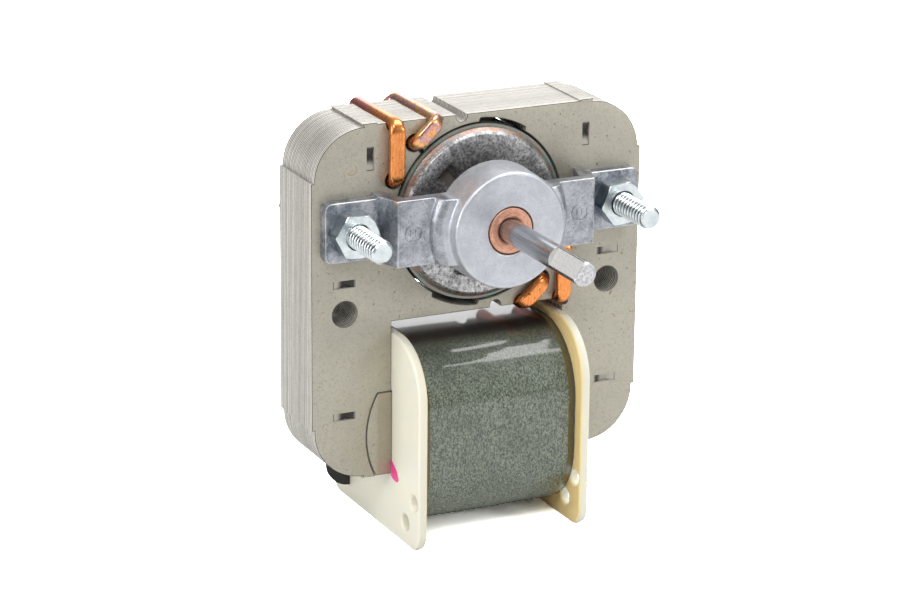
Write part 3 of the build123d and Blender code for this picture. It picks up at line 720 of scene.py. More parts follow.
@dataclass(frozen=True)
class Metal:
    """A machined or plated metal: one tone, a fine grain that may run round the shaft axis."""

    name: str
    tone: Colour
    shade: Colour
    roughness: float = 0.25
    metallic: float = 1.0
    grain: float = 3.0
    grain_stretch: tuple[float, float, float] = (1.0, 1.0, 1.0)
    relief: float = 0.004
    blotches: float = 0.35

    def make(self) -> bpy.types.Material:
        """Builds the material."""
        t = Tree(self.name)
        grain = t.noise(self.grain, 5, 0.65, t.stretch(self.grain_stretch))
        cloud = t.noise(0.5, 3, 0.55)
        colour = t.mix(grain.between(0.3, 0.75, 0.0, 0.6), self.tone, self.shade)
        colour = t.mix(cloud.between(0.4, 0.75, 0.0, self.blotches), colour, self.shade)
        rough = grain * 0.18 + (self.roughness - 0.08) + cloud * 0.06
        return t.finish(Base_Color=colour, Metallic=self.metallic, Roughness=rough,
                        Normal=t.bump(grain, self.relief))


class HeatTint(Enum):
    """How far the welding heat has coloured a copper ring."""

    LIGHT = "light"
    STRAW_AND_PURPLE = "straw_and_purple"


@dataclass(frozen=True)
class Copper:
    """Bare bent copper wire with heat tints, draw marks and dark handling spots."""

    tint: HeatTint
    rear: float = 18.7
    bright: Colour = (0.90, 0.34, 0.11)

    def make(self) -> bpy.types.Material:
        """Builds the material."""
        t = Tree(f"copper_{self.tint.value}")
        y = t.axis(t.place, "Y")
        draw = t.noise(1.2, 4, 0.6, t.stretch((3.0, 3.0, 0.6)))
        cloud = t.noise(0.7, 3, 0.6, warp=0.6)
        colour = t.mix(draw.between(0.35, 0.75, 0.0, 0.6), self.bright, (0.55, 0.17, 0.05))
        heat = (y + cloud * 6.0).between(self.rear - 8.0, self.rear + 2.0)
        colour = t.mix(heat, colour, (0.60, 0.23, 0.20))
        if self.tint is HeatTint.STRAW_AND_PURPLE:
            bands = t.noise(0.55, 2, 0.5, warp=1.5)
            film = t.ramp(bands, ((0.30, (0.80, 0.36, 0.16)), (0.42, (0.85, 0.60, 0.18)),
                                  (0.52, (0.75, 0.34, 0.30)), (0.60, (0.55, 0.40, 0.55)),
                                  (0.70, (0.88, 0.66, 0.25))))
            colour = t.mix(0.75, colour, film)
        spots = t.noise(1.1, 4, 0.65).between(0.58, 0.70)
        colour = t.mix(spots * 0.75, colour, (0.10, 0.035, 0.015))
        rough = draw * 0.2 + 0.18 + spots * 0.2
        return t.finish(Base_Color=colour, Metallic=1.0, Roughness=rough, Normal=t.bump(draw, 0.01))


@dataclass(frozen=True)
class Nylon:
    """Ivory moulded nylon; on the sides that face the coil it is painted warmer, a painted glow of light
    shining through.
    """

    name: str = "bobbin_nylon"
    outside: Colour = (0.76, 0.745, 0.635)
    # Colour of the painted glow on the sides that face the coil.
    inside: Colour = (0.98, 0.76, 0.36)

    def make(self) -> bpy.types.Material:
        """Builds the material."""
        t = Tree(self.name)
        x = t.axis(t.place, "X")
        across = t.axis(t.normal, "X")
        # Painted glow of light through the nylon: the sides that face the coil are coloured warmer.
        painted_glow_facing_coil = ((x * across) * -1).between(2.0, 12.0)
        cloud = t.noise(0.12, 3, 0.5)
        fine = t.noise(1.8, 4, 0.6)
        colour = t.mix(cloud.between(0.3, 0.75, 0.0, 0.45), self.outside, (0.82, 0.78, 0.62))
        colour = t.mix(painted_glow_facing_coil, colour, self.inside)
        colour = t.mix(fine.between(0.72, 0.80) * 0.5, colour, (0.55, 0.40, 0.20))
        rough = fine * 0.12 + 0.30
        t.finish(Subsurface_Weight=0.35, Subsurface_Scale=0.0012, IOR=1.53)
        t.shader.inputs["Subsurface Radius"].default_value = (1.0, 0.75, 0.35)
        return t.finish(Base_Color=colour, Roughness=rough, Normal=t.bump(fine + cloud, 0.006))


@dataclass(frozen=True)
class WrappedCoil:
    """Speckled grey-green paper seen through clear glossy film, with bare bands at both ends and painted
    shade towards its top.
    """

    name: str = "coil_film"
    paper: Colour = (0.022, 0.034, 0.018)
    fibre: Colour = (0.225, 0.26, 0.19)
    paper_end: float = 12.75
    film_edge: float = 13.45

    def make(self) -> bpy.types.Material:
        """Builds the material."""
        t = Tree(self.name)
        x, z = t.axis(t.place, "X"), t.axis(t.place, "Z")
        fleck = t.noise(3.0, 4, 0.95)
        flake = t.noise(4.2, 2, 0.7, t.stretch((1.2, 0.5, 0.5)))
        streak = t.noise(0.8, 4, 0.7, t.stretch((1.6, 0.3, 0.22)))
        cloud = t.noise(0.16, 3, 0.6)
        speckle = (fleck * 0.6 + flake * 0.4).between(0.44, 0.58)
        colour = t.mix(speckle, self.paper, self.fibre)
        colour = t.mix(streak.between(0.45, 0.75, 0.0, 0.35), colour, (0.17, 0.215, 0.19))
        colour = t.mix(cloud.between(0.42, 0.8, 0.0, 0.4), colour, (0.030, 0.042, 0.024))
        # Painted shade: the upper part of the coil darkens towards its top, and the topmost band under the
        # yoke is painted near black.
        colour = t.mix(z.between(-27.0, -20.5) * 0.6, colour, (0.035, 0.040, 0.022))
        colour = t.mix(z.between(-21.4, -20.4), colour, (0.018, 0.012, 0.009))
        olive = t.mix(fleck.between(0.3, 0.7), (0.045, 0.035, 0.008), (0.12, 0.10, 0.03))
        edge = (abs(x) + t.noise(0.3, 2, 0.5) * 0.5)
        colour = t.mix(edge.between(self.paper_end + 0.2, self.paper_end + 0.3), colour, olive)
        bare = edge.between(self.film_edge + 0.2, self.film_edge + 0.3)
        colour = t.mix(bare, colour, (0.055, 0.060, 0.050))
        height = fleck * 0.5 + streak * 0.8
        t.finish(Coat_Roughness=0.09, Coat_IOR=1.5)
        return t.finish(Base_Color=colour, Roughness=0.5, Coat_Weight=1.0, Normal=t.bump(height, 0.02))


@dataclass(frozen=True)
class Plain:
    """A plain moulded, felt or painted surface with a fine mottle."""

    name: str
    tone: Colour
    shade: Colour
    roughness: float = 0.5
    grain: float = 2.0
    relief: float = 0.02

    def make(self) -> bpy.types.Material:
        """Builds the material."""
        t = Tree(self.name)
        grain = t.noise(self.grain, 5, 0.65)
        cloud = t.noise(0.3, 2, 0.5)
        colour = t.mix((grain * 0.7 + cloud * 0.3).between(0.35, 0.7), self.tone, self.shade)
        rough = grain * 0.2 + (self.roughness - 0.1)
        return t.finish(Base_Color=colour, Roughness=rough, Normal=t.bump(grain, self.relief))


@dataclass(frozen=True)
class CageAluminium:
    """Turned die-cast aluminium: mottled face with scratches and grimy blots, painted shade on the upper part
    of its face, browned on its bevel.
    """

    name: str = "cage_aluminium"
    bright: Colour = (0.70, 0.70, 0.70)
    smudge_and_shade: Colour = (0.10, 0.095, 0.095)
    bevel_start: float = 13.75

    def make(self) -> bpy.types.Material:
        """Builds the material."""
        t = Tree(self.name)
        radius, angle = t.polar()
        z = t.axis(t.place, "Z")
        radial = t.noise(0.9, 4, 0.75, t.vector(angle * 16.0, radius * 0.35, 3.0))
        mottle = t.noise(1.2, 5, 0.8, warp=0.8)
        blot = t.noise(0.40, 4, 0.65, warp=1.0)
        fine = t.noise(2.3, 3, 0.85)
        # Painted shade: the upper part of the end face inside the rim is darkened.
        painted_shade_above = z.between(-6.0, 4.0) * (1 - radius.between(11.5, 13.4))
        colour = t.mix(mottle.between(0.40, 0.64, 0.0, 0.8), self.bright, (0.27, 0.27, 0.28))
        colour = t.mix(radial.between(0.48, 0.66, 0.0, 0.65), colour, (0.16, 0.16, 0.165))
        colour = t.mix(fine.between(0.48, 0.64) * 0.8, colour, (0.07, 0.068, 0.065))
        # Real grimy blots together with the painted shade of the upper part, both mixed towards the dark
        # colour.
        dirt_and_shade = painted_shade_above * 0.6 + blot.between(0.48, 0.62) * 0.4
        colour = t.mix(dirt_and_shade.least(0.85) * fine.between(0.3, 0.6, 0.5, 1.0), colour, self.smudge_and_shade)
        bevel = radius.between(self.bevel_start, self.bevel_start + 0.2)
        brown = t.mix(blot.between(0.4, 0.6), (0.30, 0.15, 0.09), (0.22, 0.21, 0.20))
        colour = t.mix(bevel * 0.8, colour, brown)
        rough = mottle * 0.2 + 0.28 + dirt_and_shade * 0.12
        height = mottle * 0.8 + radial * 0.5 + fine * 0.6
        return t.finish(Base_Color=colour, Metallic=0.85, Roughness=rough, Normal=t.bump(height, 0.06))


@dataclass(frozen=True)
class ZincPlate:
    """Bright zinc, a little bluish, with painted shade in the roots of the studs' threads and on the nuts'
    flanks.
    """

    stud_x: float
    thread_front: float = -9.0
    thread_back: float = 25.2
    name: str = "zinc_plate"

    def make(self) -> bpy.types.Material:
        """Builds the material."""
        t = Tree(self.name)
        x, z = t.axis(t.place, "X"), t.axis(t.place, "Z")
        off = abs(x) - self.stud_x
        reach = (off * off + z * z) ** 0.5
        # Painted shade in the thread roots: points deep between the crests are painted near black.
        root = 1 - reach.between(1.66, 1.90)
        cloud = t.noise(0.8, 4, 0.6)
        grain = t.noise(2.0, 5, 0.7)
        colour = t.mix(cloud.between(0.35, 0.7, 0.0, 0.6), (0.74, 0.79, 0.80), (0.50, 0.57, 0.60))
        colour = t.mix(grain.between(0.55, 0.75, 0.0, 0.4), colour, (0.38, 0.40, 0.40))
        y = t.axis(t.place, "Y")
        root = root * y.between(self.thread_front - 0.1, self.thread_front + 0.1)
        root = root * (1 - y.between(self.thread_back - 0.1, self.thread_back + 0.1))
        # Painted shade on the nuts' flanks: faces beyond the studs that turn neither along the shaft nor
        # upwards are painted dark teal.
        side = 1 - abs(t.axis(t.normal, "Y")).between(0.3, 0.8)
        side = side * (1 - t.axis(t.normal, "Z").between(0.3, 0.8)) * reach.between(2.3, 2.5)
        colour = t.mix(side * 0.85, colour, (0.13, 0.19, 0.22))
        colour = t.mix(root * 0.95, colour, (0.03, 0.035, 0.035))
        rough = grain * 0.12 + 0.23
        return t.finish(Base_Color=colour, Metallic=1.0, Roughness=rough, Normal=t.bump(grain, 0.002))


@dataclass(frozen=True)
class ShaftSteel:
    """Ground steel, drawn along its length, with a paler milled flat and sawn end."""

    name: str = "shaft_steel"
    ground: float = 1.93
    end: float = -31.9

    def make(self) -> bpy.types.Material:
        """Builds the material."""
        t = Tree(self.name)
        radius, angle = t.polar()
        y = t.axis(t.place, "Y")
        along = t.noise(1.5, 4, 0.65, t.vector(angle * 4.0, y * 0.06, 0.0))
        grain = t.noise(2.2, 5, 0.7)
        sawn = 1 - y.between(self.end - 0.2, self.end)
        below = 1 - radius.between(self.ground - 0.05, self.ground)
        milled = below * (1 - y.between(-22.0, -21.0)) * (1 - sawn)
        colour = t.mix(along.between(0.35, 0.7, 0.0, 0.6), (0.50, 0.51, 0.53), (0.28, 0.29, 0.31))
        colour = t.mix(grain.between(0.55, 0.75, 0.0, 0.3), colour, (0.42, 0.40, 0.37))
        pale = t.mix(grain.between(0.40, 0.70), (0.68, 0.67, 0.655), (0.56, 0.555, 0.545))
        colour = t.mix(milled, colour, pale)
        colour = t.mix(sawn, colour, t.mix(grain.between(0.42, 0.60), (0.72, 0.72, 0.74), (0.46, 0.46, 0.47)))
        rough = grain * 0.14 + 0.15 + (milled + sawn) * 0.30
        t.finish(Metallic=0.95 - (milled + sawn) * 0.4)
        return t.finish(Base_Color=colour, Roughness=rough, Normal=t.bump(grain + along, 0.006))


@dataclass(frozen=True)
class RotorSteel:
    """Rotor sheets: dark heat-blued rims with patches of teal varnish."""

    name: str = "rotor_steel"

    def make(self) -> bpy.types.Material:
        """Builds the material."""
        t = Tree(self.name)
        y = t.axis(t.place, "Y")
        radius, angle = t.polar()
        sheet = t.chance(((y - 5.5) / 0.508).floor() + 3.0)
        patch = t.noise(0.9, 4, 0.75, t.vector(angle * 9.0, radius, y)).between(0.50, 0.58)
        patch = patch * radius.between(14.2, 14.5)
        fine = t.noise(2.5, 4, 0.7)
        colour = t.mix(sheet, (0.10, 0.09, 0.08), (0.30, 0.28, 0.24))
        colour = t.mix(fine.between(0.55, 0.7, 0.0, 0.6), colour, (0.45, 0.42, 0.36))
        colour = t.mix(patch * fine.between(0.42, 0.58) * 0.8, colour, (0.10, 0.40, 0.37))
        return t.finish(Base_Color=colour, Metallic=0.4, Roughness=fine * 0.2 + 0.3,
                        Normal=t.bump(fine, 0.02))


# ---- Where things are -----------------------------------------------------------------------------


@dataclass(frozen=True)
class Datum:
    """Places that many pieces share, in millimetres, read from the frame."""

    front: float
    back: float
    top: float
    foot: float
    stud_x: float
    shaft_tip: float
    shaft_tail: float

    @classmethod
    def read(cls) -> "Datum":
        """Reads the places from the CAD nodes' boxes."""
        yoke_low, yoke_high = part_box("yoke_laminations")
        bobbin_low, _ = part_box("bobbin")
        shaft_low, shaft_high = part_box("shaft")
        stud_low, stud_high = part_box("through_studs")
        stud_radius = (stud_high.z - stud_low.z) / 2
        return cls(
            front=yoke_low.y / METRE,
            back=yoke_high.y / METRE,
            top=yoke_high.z / METRE,
            foot=bobbin_low.z / METRE,
            stud_x=(stud_high.x - stud_radius) / METRE,
            shaft_tip=shaft_low.y / METRE,
            shaft_tail=shaft_high.y / METRE,
        )

    @property
    def middle(self) -> float:
        """The middle of the stack along the shaft."""
        return (self.front + self.back) / 2

    def rear(self, surface: Array) -> Array:
        """The same points handed about the middle of the stack."""
        return surface * np.array([1, -1, 1]) + np.array([0, 2 * self.middle, 0])


def hand_in(piece: bpy.types.Object, body: str, slot: str, material: bpy.types.Material, *nodes: str) -> None:
    """Dresses a finished piece, ties it to its body and hides the CAD nodes that it stands for.

    Args:
        piece: The finished object.
        body: The CAD body it rides on.
        slot: Not used.
        material: Its material.
        nodes: CAD nodes that it replaces, if any.
    """
    piece.data.materials.clear()
    piece.data.materials.append(material)
    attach(piece, body)
    if nodes:
        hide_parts(*nodes)
    LOG.info("%s: %d faces", piece.name, len(piece.data.polygons))


# ---- Lamination stack -----------------------------------------------------------------------------


@dataclass
class Stack:
    """The stamped yoke and the core bar that closes it, built sheet by sheet."""

    datum: Datum
    sheets: int = 26
    groove: float = 0.05
    rollover: float = 0.13
    side: float = 30.0
    inset: float = 0.5
    corner: float = 8.8
    land_top: float = 8.07
    land_foot: float = -34.1
    edge_top: float = 16.9
    edge_foot: float = -43.55
    bump: float = 0.22
    bump_inner: float = 18.35
    bump_outer: float = 20.95
    bore: float = 15.28
    bore_step: float = 15.95
    step_middle: float = 74.0
    step_half: float = 16.0
    window: float = 15.71
    window_top: float = -16.9
    core_top: float = -29.1
    core_corner: float = 18.15
    core_bulge: float = 20.15
    core_gap: float = 0.08
    wire_hole: float = 1.48
    slit: float = 0.35
    notch_half: float = 1.45
    notch_depth: float = 1.6
    outer_hole: tuple[float, float] = (-15.45, 7.15)
    outer_notch: float = -15.35
    inner_hole: tuple[float, float] = (-11.8, 13.0)
    inner_notch: float = -8.15
    groove_x: float = -3.3
    groove_radius: float = 1.0
    stake_length: float = 4.0
    stake_width: float = 1.3
    stake_depth: float = 0.8

    def notch(self, x: float, edge: float, downwards: bool) -> Array:
        """A U-shaped notch in a horizontal edge, from its left lip to its right lip.

        Args:
            x: Its middle.
            edge: Height of the edge.
            downwards: The notch is cut down into a top edge, else up into the window's edge.

        Returns:
            Points from left to right.
        """
        sign = -1 if downwards else 1
        centre = edge + sign * (self.notch_depth - self.notch_half)
        angles = np.radians(np.linspace(180, 360, 13))
        bottom = turn(angles) * self.notch_half
        bottom[:, 1] *= -sign
        lips = np.array([[x - self.notch_half, edge], [x + self.notch_half, edge]])
        return np.concatenate([lips[:1], np.array([x, centre]) + bottom, lips[1:]])

    def half_round(self, x: float, edge: float, downwards: bool) -> Array:
        """A half-round groove in a horizontal edge, from left to right."""
        sign = -1 if downwards else 1
        centre = edge + sign * 0.25
        bottom = turn(np.radians(np.linspace(180, 360, 11))) * self.groove_radius
        bottom[:, 1] *= -sign
        lips = np.array([[x - self.groove_radius, edge], [x + self.groove_radius, edge]])
        return np.concatenate([lips[:1], np.array([x, centre]) + bottom, lips[1:]])

    def core_end(self, gap: float, side: int) -> Array:
        """The bulging end of the core bar from its top corner to its foot, grown by gap.

        The end is the arc through the top corner, the bulge at mid height and the foot corner.

        Args:
            gap: How far outside the bar the line runs.
            side: -1 for the left end, 1 for the right.

        Returns:
            Points from top to foot.
        """
        top, foot = self.core_top + gap, self.edge_foot - gap
        half = (top - foot) / 2
        rise = self.core_bulge - self.core_corner - 0.15
        radius = (half**2 + rise**2) / (2 * rise)
        reach = math.asin(half / radius)
        angles = np.linspace(reach, -reach, 22)
        x = self.core_bulge + gap - radius + radius * np.cos(angles)
        slope = np.linspace(-0.15, 0.15, len(x))
        return np.stack([side * (x + slope), (top + foot) / 2 + radius * np.sin(angles)], -1)

    def yoke_outline(self) -> Array:
        """The yoke's outline, anticlockwise: the C with its open lower side filled by the window and bar."""
        body_side = self.side - self.inset
        body_top, body_foot = self.edge_top - 0.3, self.edge_foot + 0.3
        middle_x, low_z, high_z = body_side - self.corner, body_foot + self.corner, body_top - self.corner
        right_end = self.core_end(self.core_gap, 1)[::-1]
        left_end = self.core_end(self.core_gap, -1)
        top_left_to_right = np.concatenate([
            [[-self.bump_inner, self.edge_top + self.bump], [-self.bump_inner, self.edge_top]],
            self.notch(self.outer_notch, self.edge_top, True),
            self.notch(self.inner_notch, self.edge_top, True),
            self.half_round(self.groove_x, self.edge_top, True),
            [[self.bump_inner, self.edge_top], [self.bump_inner, self.edge_top + self.bump]],
        ])
        pieces = [
            [[self.bump_outer, self.edge_foot]],
            arc((middle_x, low_z), self.corner, -90, 90, 24),
            [[body_side, self.land_foot], [self.side, self.land_foot],
             [self.side, self.land_top], [body_side, self.land_top]],
            arc((middle_x, high_z), self.corner, 0, 90, 24),
            [[self.bump_outer, self.edge_top + self.bump]],
            top_left_to_right[::-1],
            [[-self.bump_outer, self.edge_top + self.bump]],
            arc((-middle_x, high_z), self.corner, 90, 90, 24),
            [[-body_side, self.land_top], [-self.side, self.land_top],
             [-self.side, self.land_foot], [-body_side, self.land_foot]],
            arc((-middle_x, low_z), self.corner, 180, 90, 24),
            [[-self.bump_outer, self.edge_foot]],
            left_end[::-1],
            [[-self.window, self.core_top + self.core_gap], [-self.window, self.window_top]],
            self.window_edge(),
            [[self.window, self.core_top + self.core_gap]],
            right_end[::-1],
        ]
        return np.concatenate([np.asarray(piece, float) for piece in pieces])

    def window_edge(self) -> Array:
        """The window's upper edge from left to right, with its groove and the notches for two rings."""
        half_round = self.half_round(-self.groove_x, self.window_top, False)
        inner = self.notch(-self.inner_notch, self.window_top, False)
        outer = self.notch(-self.outer_notch, self.window_top, False)[:-1]
        foot = self.window_top - 1.15
        shoulder = np.array([[outer[-1, 0], foot + 0.3], [outer[-1, 0] - 0.3, foot],
                             [self.window, foot]])
        return np.concatenate([half_round, inner, outer, shoulder])

    def bore_arc(self, start: float, end: float) -> Array:
        """The bore's edge between two angles in degrees, stepped outwards in its two shallow steps."""
        angles = np.linspace(start, end, max(2, int(end - start)))
        stepped = np.abs((angles % 180) - self.step_middle) < self.step_half
        radius = np.where(stepped, self.bore_step, self.bore)
        return turn(np.radians(angles)) * radius[:, None]

    def bore_loop(self) -> Array:
        """The bore, clockwise, with the four wire holes that open into it through narrow slits.

        Going round, the line leaves the bore at a slit's near side, follows nearly the whole circle of
        the wire hole, and comes back along the slit's far side.

        Returns:
            The loop.
        """
        places = [(s * x, s * z) for s in (1, -1) for x, z in (self.outer_hole, self.inner_hole)]
        bearings = sorted((math.degrees(math.atan2(z, x)) % 360, x, z) for x, z in places)
        mouth = math.degrees(math.asin(self.slit / self.bore))
        neck = math.degrees(math.asin(self.slit / self.wire_hole))
        pieces, last = [], bearings[-1][0] + mouth - 360
        for bearing, x, z in bearings:
            pieces.append(self.bore_arc(last, bearing - mouth))
            pieces.append(arc((x, z), self.wire_hole, bearing + 180 + neck, 360 - 2 * neck, 40))
            last = bearing + mouth
        return np.concatenate(pieces)[::-1]

    def stakes(self) -> list[tuple[float, float, bool]]:
        """Places of the interlock stakes: x, z and whether the stake is upright."""
        upright = [(side * 19.6, 11.2, True) for side in (-1, 1)]
        level = [(side * 24.2, z, False) for side in (-1, 1) for z in (-9.5, -32.3)]
        return upright + level

    def rows(self) -> Array:
        """Rows through the stack: each sheet stands a little proud of the grooves between sheets."""
        thickness = (self.datum.back - self.datum.front) / self.sheets
        rng = np.random.default_rng(7)
        proud = rng.uniform(0.0, 0.02, self.sheets)
        start = self.datum.front + thickness * np.arange(self.sheets)
        heights = start[:, None] + thickness * np.array([0.0, 0.1, 0.9, 1.0])
        insets = np.stack([np.full(self.sheets, self.groove), proud, proud,
                           np.full(self.sheets, self.groove)], -1)
        rows = np.stack([heights.ravel(), insets.ravel()], -1)
        rows[[0, -1], 1] = self.rollover
        return rows

    def stake_pit(self, shape: Shape, x: float, z: float, upright: bool) -> Array:
        """Adds one stake's pit, a V pressed into the front sheet, and returns its rim, clockwise.

        The depth falls evenly from nought at one end to stake_depth at the middle and back.

        Args:
            shape: Where the pit's surfaces go.
            x: Middle of the stake.
            z: Middle of the stake.
            upright: Whether its length runs along Z.

        Returns:
            The rim's four corners and the two ends of the V, shape (6, 2).
        """
        t = np.array([-0.5, 0.1, 0.5])
        depth = np.array([0.0, 1.0, 0.0]) * self.stake_depth
        side = np.array([-0.5, 0.5]) * self.stake_width
        along, across = np.meshgrid(t * self.stake_length, side, indexing="ij")
        px, pz = (across, along) if upright else (along, -across)
        floor = np.stack([x + px, self.datum.front + depth[:, None] + 0 * px, z + pz], -1)
        shape.grid(floor)
        for edge, flip in ((0, True), (1, False)):
            rim = floor[:, edge].copy()
            rim[:, 1] = self.datum.front
            shape.grid(np.stack([rim, floor[:, edge]]), flip=flip)
        left, right = floor[:, 0][:, [0, 2]], floor[:, 1][:, [0, 2]]
        loop = np.concatenate([left, right[::-1]])
        area = (loop[:, 0] * np.roll(loop[:, 1], -1) - loop[:, 1] * np.roll(loop[:, 0], -1)).sum()
        return loop[::-1] if area > 0 else loop

    def build_yoke(self) -> bpy.types.Object:
        """Builds the yoke: walls through every sheet, and caps of which the front one has the stakes."""
        shape = Shape()
        outer = finer(self.yoke_outline(), 4.0)
        holes = [self.bore_loop()]
        holes += [circle((s * 24.1, -14.6), 2.2, 48, True) for s in (-1, 1)]
        holes += [circle((s * self.datum.stud_x, 0), 2.2, 48, True) for s in (-1, 1)]
        loops = [outer, *holes]
        rows = self.rows()
        normals = [left_normals(loop) for loop in loops]
        for loop, normal in zip(loops, normals):
            wall = loop[None] + rows[:, 1, None, None] * normal[None]
            height = np.broadcast_to(rows[:, 0, None], wall.shape[:2])
            shape.grid(facing_shaft(wall, height), close_v=True, flip=True)
        pits = [self.stake_pit(shape, *stake) for stake in self.stakes()]
        rims = [loop + self.rollover * normal for loop, normal in zip(loops, normals)]
        shape.flat(rims + pits, lambda p: facing_shaft(p, np.full(len(p), self.datum.front)))
        shape.flat(rims, lambda p: facing_shaft(p, np.full(len(p), self.datum.back)), flip=True)
        return shape.build("yoke", 50)

    def build_core(self) -> bpy.types.Object:
        """Builds the core bar the same way."""
        shape = Shape()
        outline = np.concatenate([self.core_end(0, -1), self.core_end(0, 1)[::-1]])
        shape.plate([finer(outline, 4.0)], self.rows(), facing_shaft)
        return shape.build("core_bar", 50)

    def make(self, material: bpy.types.Material) -> None:
        """Builds both pieces and hands them in."""
        hand_in(self.build_yoke(), STATOR, "lamination_steel", material, "yoke_laminations")
        hand_in(self.build_core(), STATOR, "lamination_steel", material, "core_bar_laminations")


# ---- Shading rings --------------------------------------------------------------------------------


@dataclass
class ShadingRing:
    """One closed ring of round wire, bent square and pressed flat where it crosses the front."""

    datum: Datum
    node: str
    hole: tuple[float, float]
    top_x: float
    turned_half: bool
    radius: float = 1.2
    stand_off: float = 1.22
    rear_stand_off: float = 2.3
    bend: float = 1.35
    top_z: float = 16.55
    flattening: float = 0.42

    def path(self, per_corner: int = 14, per_side: int = 26) -> tuple[Array, Array]:
        """The wire's middle line in its own plane and the outward normals there.

        The line is a rectangle with round corners: straight stretches joined by quarter circles.

        Args:
            per_corner: Points in each bend.
            per_side: Points on each straight.

        Returns:
            Points (y, distance up the slope from the hole) and unit normals, both (n, 2).
        """
        front, back = self.datum.front - self.stand_off, self.datum.back + self.rear_stand_off
        length = math.dist(self.hole, (self.top_x, self.top_z))
        width, middle_y = back - front, (front + back) / 2
        points, normals = [], []
        half_width, half_length = width / 2 - self.bend, length / 2 - self.bend
        for index in range(4):
            sx, sy = ((1, -1), (1, 1), (-1, 1), (-1, -1))[index]
            middle = np.array([middle_y + sx * half_width, length / 2 + sy * half_length])
            normal = turn(np.radians(np.linspace(-90 + 90 * index, 90 * index, per_corner)))
            points.append(middle + self.bend * normal)
            normals.append(normal)
            nx, ny = ((1, 1), (-1, 1), (-1, -1), (1, -1))[index]
            end = np.array([middle_y + nx * half_width, length / 2 + ny * half_length])
            last = points[-1][-1]
            target = end + self.bend * normal[-1]
            share = np.linspace(0, 1, per_side)[1:-1, None]
            points.append(last + share * (target - last))
            normals.append(np.repeat(normal[-1:], per_side - 2, 0))
        return np.concatenate(points), np.concatenate(normals)

    def surface(self, seed: int) -> Array:
        """The wire's surface: a circle carried round the line, its front pressed flat.

        The reach towards the front is held under flattening times the radius by a smooth minimum, and a
        slow wave of a few hundredths of a millimetre keeps the wire from looking drawn with a ruler.

        Args:
            seed: Seed of the wave.

        Returns:
            A grid closed both ways, shape (n, m, 3).
        """
        line, normal = self.path()
        low = np.array([self.hole[0], self.hole[1]])
        high = np.array([self.top_x, self.top_z])
        up = (high - low) / np.linalg.norm(high - low)
        side = np.array([up[1], 0.0, -up[0]])
        angles = np.linspace(0, math.tau, 28, endpoint=False)
        rng = np.random.default_rng(seed)
        phase = rng.uniform(0, math.tau, 3)
        position = np.linspace(0, math.tau, len(line), endpoint=False)[:, None]
        wave = sum(np.sin(position * (k + 2) + angles[None] * (k % 2) + phase[k]) for k in range(3))
        reach = self.radius * (1 - 0.010 + 0.009 * wave / 3)
        out, across = reach * np.cos(angles)[None], reach * np.sin(angles)[None]
        frontness = np.clip(-normal[:, 0], 0, 1)[:, None] ** 2
        limit = self.radius * (1 - self.flattening * frontness)
        softness = 0.12
        pressed = -softness * np.logaddexp(-out / softness, -limit / softness)
        out = np.where(frontness > 0, pressed, out)
        across = across * (1 + 0.15 * frontness)
        y = line[:, 0, None] + out * normal[:, 0, None]
        climb = line[:, 1, None] + out * normal[:, 1, None]
        x = low[0] + climb * up[0] + across * side[0]
        z = low[1] + climb * up[1] + across * side[2]
        surface = np.stack([x, y, z], -1)
        return surface * np.array([-1, 1, -1]) if self.turned_half else surface

    def make(self, material: bpy.types.Material, seed: int) -> None:
        """Builds the ring and hands it in."""
        shape = Shape()
        shape.closed(self.surface(seed))
        hand_in(shape.build(f"{self.node}_wire", 60), STATOR, "copper", material, self.node)


# ---- Bobbin and coil ------------------------------------------------------------------------------


